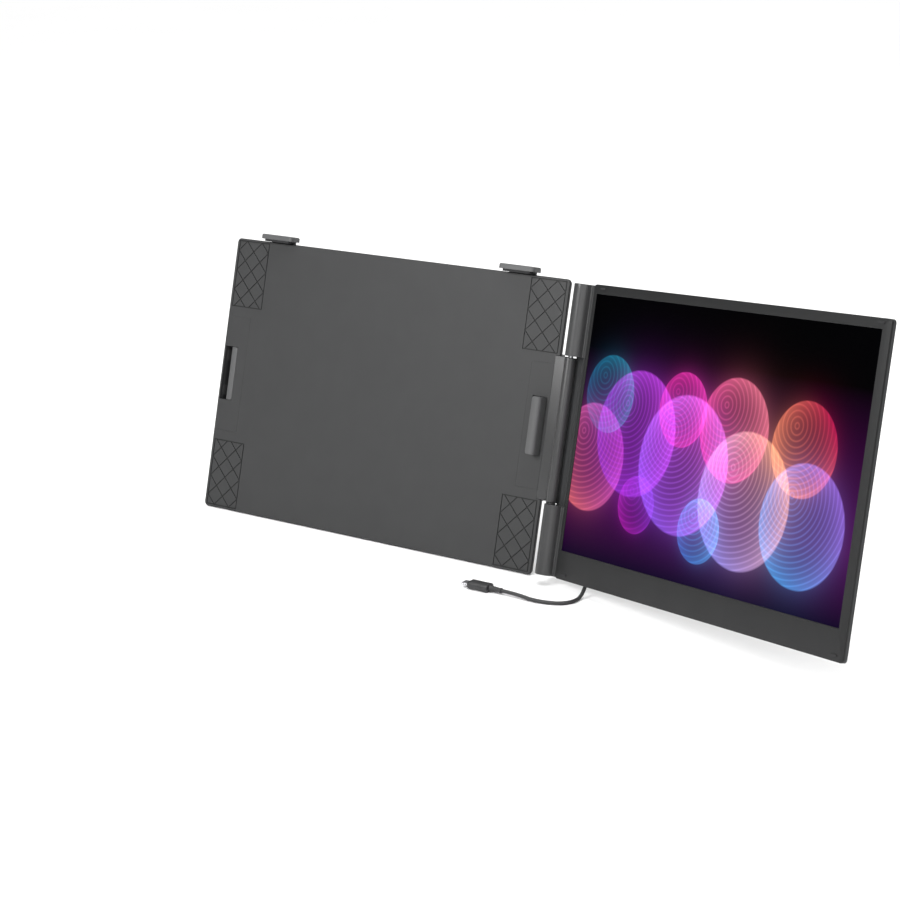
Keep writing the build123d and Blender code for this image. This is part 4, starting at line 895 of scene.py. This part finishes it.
def clip_pins():
    """Guide pins at both ends of the clip's root: an outline with its lower and upper end."""
    x, y = CLIP_OUTER_X - CLIP_WALL_T / 2, CLIP_ROOT_Y - 1.0
    outline = ring_outline(x, y, PIN_R, 16)
    near, far = CLIP_HALF_H - PIN_SUNK, CLIP_HALF_H + PIN_OUT
    return [(outline, near, far), (outline, -far, -near)]


def join(name, parts):
    """Several closed skins as one piece."""
    shape = bmesh.new()
    for part in parts:
        shape.from_mesh(part.data)
        mesh = part.data
        bpy.data.objects.remove(part)
        bpy.data.meshes.remove(mesh)
    mesh = bpy.data.meshes.new(name)
    shape.to_mesh(mesh)
    shape.free()
    piece = bpy.data.objects.new(name, mesh)
    bpy.context.scene.collection.objects.link(piece)
    return piece


def stowed(p):
    """Place of the left side clip: moved in and down its slanted way, then mirrored."""
    moved = p + np.array([LEFT_SHIFT - CLIP_IN, CLIP_OUT, 0])
    return on_bracket(moved * np.array([-1, 1, 1]))


def make_side_clips():
    """Both side clips: the right one raised, the left one mirrored, stowed and shifted."""
    for which, place in (("right", on_bracket), ("left", stowed)):
        parts = [loft("clip", clip_surface(), place, angle=40)]
        for outline, z0, z1 in clip_pins():
            parts.append(rounded_column("pin", outline, z0, z1, PIN_EASE, PIN_EASE, place, 2))
        skin = join("side_clip_skin_" + which, parts)
        settle(skin, which + "_side_clip", "clip_plastic", "side_clip_" + which)


def screw_surface(x, z, face_y, head_t, long):
    """One screw, lathed about Y from its tip to its head's middle. On the head's face the
    cross recess sinks by its depth times two smooth steps: one across each arm, at the
    smaller of the two distances from the middle lines, and one at the arm's end."""
    turn = np.linspace(0, 2 * np.pi, 48, endpoint=False)
    ease = SCREW_EASE
    line = [(SHANK_R - SHANK_CHAMFER, long), (SHANK_R, long - SHANK_CHAMFER)]
    line += [(SHANK_R, head_t), (HEAD_R, head_t), (HEAD_R, ease)]
    line += [(HEAD_R - 0.3 * ease, 0.3 * ease), (HEAD_R - ease, 0)]
    line += [(r, 0) for r in np.linspace(HEAD_R - ease, POLE_R, 26)[1:]]
    radius, depth = np.array(line).T
    a, b = radius[:, None] * np.cos(turn), radius[:, None] * np.sin(turn)
    small, large = np.minimum(abs(a), abs(b)), np.maximum(abs(a), abs(b))
    across = np.clip((ARM_HALF_W - small) / ARM_SLOPE, 0, 1)
    along = np.clip((ARM_REACH - large) / ARM_END_SLOPE, 0, 1)
    sink = sizes().recess_depth / MM * across * along * (depth[:, None] == 0)
    return np.stack([x + a, face_y - depth[:, None] - sink, z + b], -1)


def make_screws():
    """The screws that show: in the back cover, the rear cover and over the clutches."""
    groups = (
        ("bracket_screws", BRACKET_SCREWS, BRACKET_T, 0.9, 6.0, on_bracket, "bracket"),
        ("screen_screws", SCREEN_SCREWS, BACK_Y, 0.9, 4.0, on_screen, "screen"),
        ("clutch_screws", CLUTCH_SCREWS, BACK_Y, 0.6, 2.4, on_screen, "screen"),
    )
    for node, places, face_y, head_t, long, place, body in groups:
        surfaces = [screw_surface(x, z, face_y, head_t, long) for x, z in places]
        parts = [loft("screw", surface, place) for surface in surfaces]
        settle(join(node + "_skin", parts), body, "screw_black", node)


def finish_frame():
    """Gives every frame node that still shows its own finish."""
    slots = {part["node"]: part["material_slot"] for part in frame["record"]["subparts"]}
    for name, node in frame["nodes"].items():
        if not node.hide_render:
            # The front cover and side modules take finishes with painted shade in grooves and
            # wells
            kind = PAINTED_SHADE_FINISH.get(name, slots[name])
            for index in range(len(node.material_slots)):
                node.material_slots[index].material = finish(kind)


# Stage


def make_camera():
    """Camera at the fitted viewpoint, turned by its three axes."""
    camera = bpy.data.objects.new("camera", bpy.data.cameras.new("camera"))
    camera.data.sensor_width = SENSOR_MM
    camera.data.lens = SENSOR_MM * FOCAL_SHARE
    camera.data.clip_end = VIEW_END
    turn = Matrix((CAMERA_RIGHT, CAMERA_UP, CAMERA_BACK)).transposed().to_4x4()
    camera.matrix_world = Matrix.Translation(CAMERA_AT) @ turn
    bpy.context.scene.collection.objects.link(camera)
    bpy.context.scene.camera = camera


def area_light(name, place, size, watts):
    """A square soft light at a place, turned to the common point."""
    light = bpy.data.lights.new(name, "AREA")
    light.shape = "SQUARE"
    light.size = size
    light.energy = watts
    lamp = bpy.data.objects.new(name, light)
    lamp.visible_camera = False
    way = np.array(LIGHT_AIM) - np.array(place)
    turn = Vector(way).to_track_quat("-Z", "Y").to_matrix().to_4x4()
    lamp.matrix_world = Matrix.Translation(place) @ turn
    bpy.context.scene.collection.objects.link(lamp)


def make_floor(paint):
    """Plain square floor that the whole stands on."""
    half, z = FLOOR_HALF, FLOOR_Z * MM
    corners = [(-half, -half, z), (half, -half, z), (half, half, z), (-half, half, z)]
    mesh = bpy.data.meshes.new("floor")
    mesh.from_pydata(corners, [], [(0, 1, 2, 3)])
    floor = bpy.data.objects.new("floor", mesh)
    bpy.context.scene.collection.objects.link(floor)
    material, tree, shader, place = new_material("floor_paint")
    shader.inputs["Roughness"].default_value = 0.9
    tone = tinted(tree, noise(tree, place, 3), paint, 0.995, 1.005)
    tree.links.new(tone, shader.inputs["Base Color"])
    mesh.materials.append(material)


def make_stage():
    """Plain floor, even surround, the soft lights and a wide light overhead."""
    s = lights()
    scene = bpy.context.scene
    world = bpy.data.worlds.new("surround")
    world.use_nodes = True
    back = world.node_tree.nodes["Background"]
    back.inputs["Color"].default_value = (1, 1, 1, 1)
    back.inputs["Strength"].default_value = s.sky
    scene.world = world
    scene.view_settings.view_transform = "Standard"
    make_floor(s.floor)
    for name, place, size in SOFT_LIGHTS:
        area_light(name, place, size, getattr(s, name))
    sun = bpy.data.lights.new("top", "SUN")
    sun.energy = s.top
    sun.angle = TOP_SPREAD
    lamp = bpy.data.objects.new("top", sun)
    lamp.matrix_world = Matrix.Rotation(TOP_TILT, 4, "X")
    scene.collection.objects.link(lamp)


# Operators, one for each piece or group of like pieces


class PORTABLE_OT_camera(bpy.types.Operator):
    """Places the camera at the viewpoint"""

    bl_idname = "portable.camera"
    bl_label = "Camera"

    def execute(self, context):
        make_camera()
        return {"FINISHED"}


class PORTABLE_OT_cord(bpy.types.Operator):
    """Makes the cord with its plugs"""

    bl_idname = "portable.cord"
    bl_label = "Cord and plugs"

    def execute(self, context):
        cord = make_cord()
        with_pieces = make_plugs()
        with_pieces += [frame["nodes"][n] for n in ("plug_a_shell", "plug_b_shell")]
        return {"FINISHED"}


class PORTABLE_OT_bezel(bpy.types.Operator):
    """Makes the frame round the lit area"""

    bl_idname = "portable.bezel"
    bl_label = "Bezel"

    def execute(self, context):
        make_bezel()
        return {"FINISHED"}


class PORTABLE_OT_picture(bpy.types.Operator):
    """Makes the lit panel and its picture"""

    bl_idname = "portable.picture"
    bl_label = "Lit panel"

    def execute(self, context):
        make_picture()
        return {"FINISHED"}


class PORTABLE_OT_barrels(bpy.types.Operator):
    """Makes the two barrel covers on the screen's side of the hinge"""

    bl_idname = "portable.barrels"
    bl_label = "Barrel covers"

    def execute(self, context):
        make_barrels()
        return {"FINISHED"}


class PORTABLE_OT_leaf(bpy.types.Operator):
    """Makes the leaf and knuckle on the bracket's side of the hinge"""

    bl_idname = "portable.leaf"
    bl_label = "Leaf and knuckle"

    def execute(self, context):
        make_leaf()
        make_washer()
        return {"FINISHED"}


class PORTABLE_OT_side_clips(bpy.types.Operator):
    """Makes the two side clips"""

    bl_idname = "portable.side_clips"
    bl_label = "Side clips"

    def execute(self, context):
        make_side_clips()
        return {"FINISHED"}


class PORTABLE_OT_screws(bpy.types.Operator):
    """Makes the screws with their cross recesses"""

    bl_idname = "portable.screws"
    bl_label = "Screws"

    def execute(self, context):
        make_screws()
        return {"FINISHED"}


class PORTABLE_OT_frame_finish(bpy.types.Operator):
    """Gives the frame's own pieces their finishes"""

    bl_idname = "portable.frame_finish"
    bl_label = "Frame finishes"

    def execute(self, context):
        finish_frame()
        return {"FINISHED"}


class PORTABLE_OT_stage(bpy.types.Operator):
    """Makes the floor and the studio light"""

    bl_idname = "portable.stage"
    bl_label = "Stage"

    def execute(self, context):
        make_stage()
        return {"FINISHED"}


STEPS = (
    PORTABLE_OT_camera,
    PORTABLE_OT_cord,
    PORTABLE_OT_bezel,
    PORTABLE_OT_picture,
    PORTABLE_OT_barrels,
    PORTABLE_OT_leaf,
    PORTABLE_OT_side_clips,
    PORTABLE_OT_screws,
    PORTABLE_OT_frame_finish,
    PORTABLE_OT_stage,
)


class PORTABLE_PT_panel(bpy.types.Panel):
    """Lists the steps and their sizes, colours and lights."""

    bl_label = "Portable screen"
    bl_idname = "PORTABLE_PT_panel"
    bl_space_type = "VIEW_3D"
    bl_region_type = "UI"
    bl_category = "Portable screen"

    def draw(self, context):
        layout = self.layout
        for group in (sizes(), colours(), lights()):
            box = layout.box()
            for name in group.bl_rna.properties.keys():
                if name not in ("rna_type", "name"):
                    box.prop(group, name)
        for step in STEPS:
            layout.operator(step.bl_idname)


GROUPS = {
    "portable_screen_sizes": SkinSizes,
    "portable_screen_colours": FinishColours,
    "portable_screen_lights": StageLight,
}


def register():
    """Adds the property groups, the operators and the panel."""
    for name, group in GROUPS.items():
        bpy.utils.register_class(group)
        setattr(bpy.types.Scene, name, PointerProperty(type=group))
    for step in (*STEPS, PORTABLE_PT_panel):
        bpy.utils.register_class(step)


def unregister():
    """Takes them away again, in reverse order."""
    for step in reversed((*STEPS, PORTABLE_PT_panel)):
        bpy.utils.unregister_class(step)
    for name, group in GROUPS.items():
        delattr(bpy.types.Scene, name)
        bpy.utils.unregister_class(group)


def main():
    """Runs every step in order."""
    register()
    for step in STEPS:
        family, name = step.bl_idname.split(".")
        getattr(getattr(bpy.ops, family), name)()


if __name__ == "__main__":
    main()
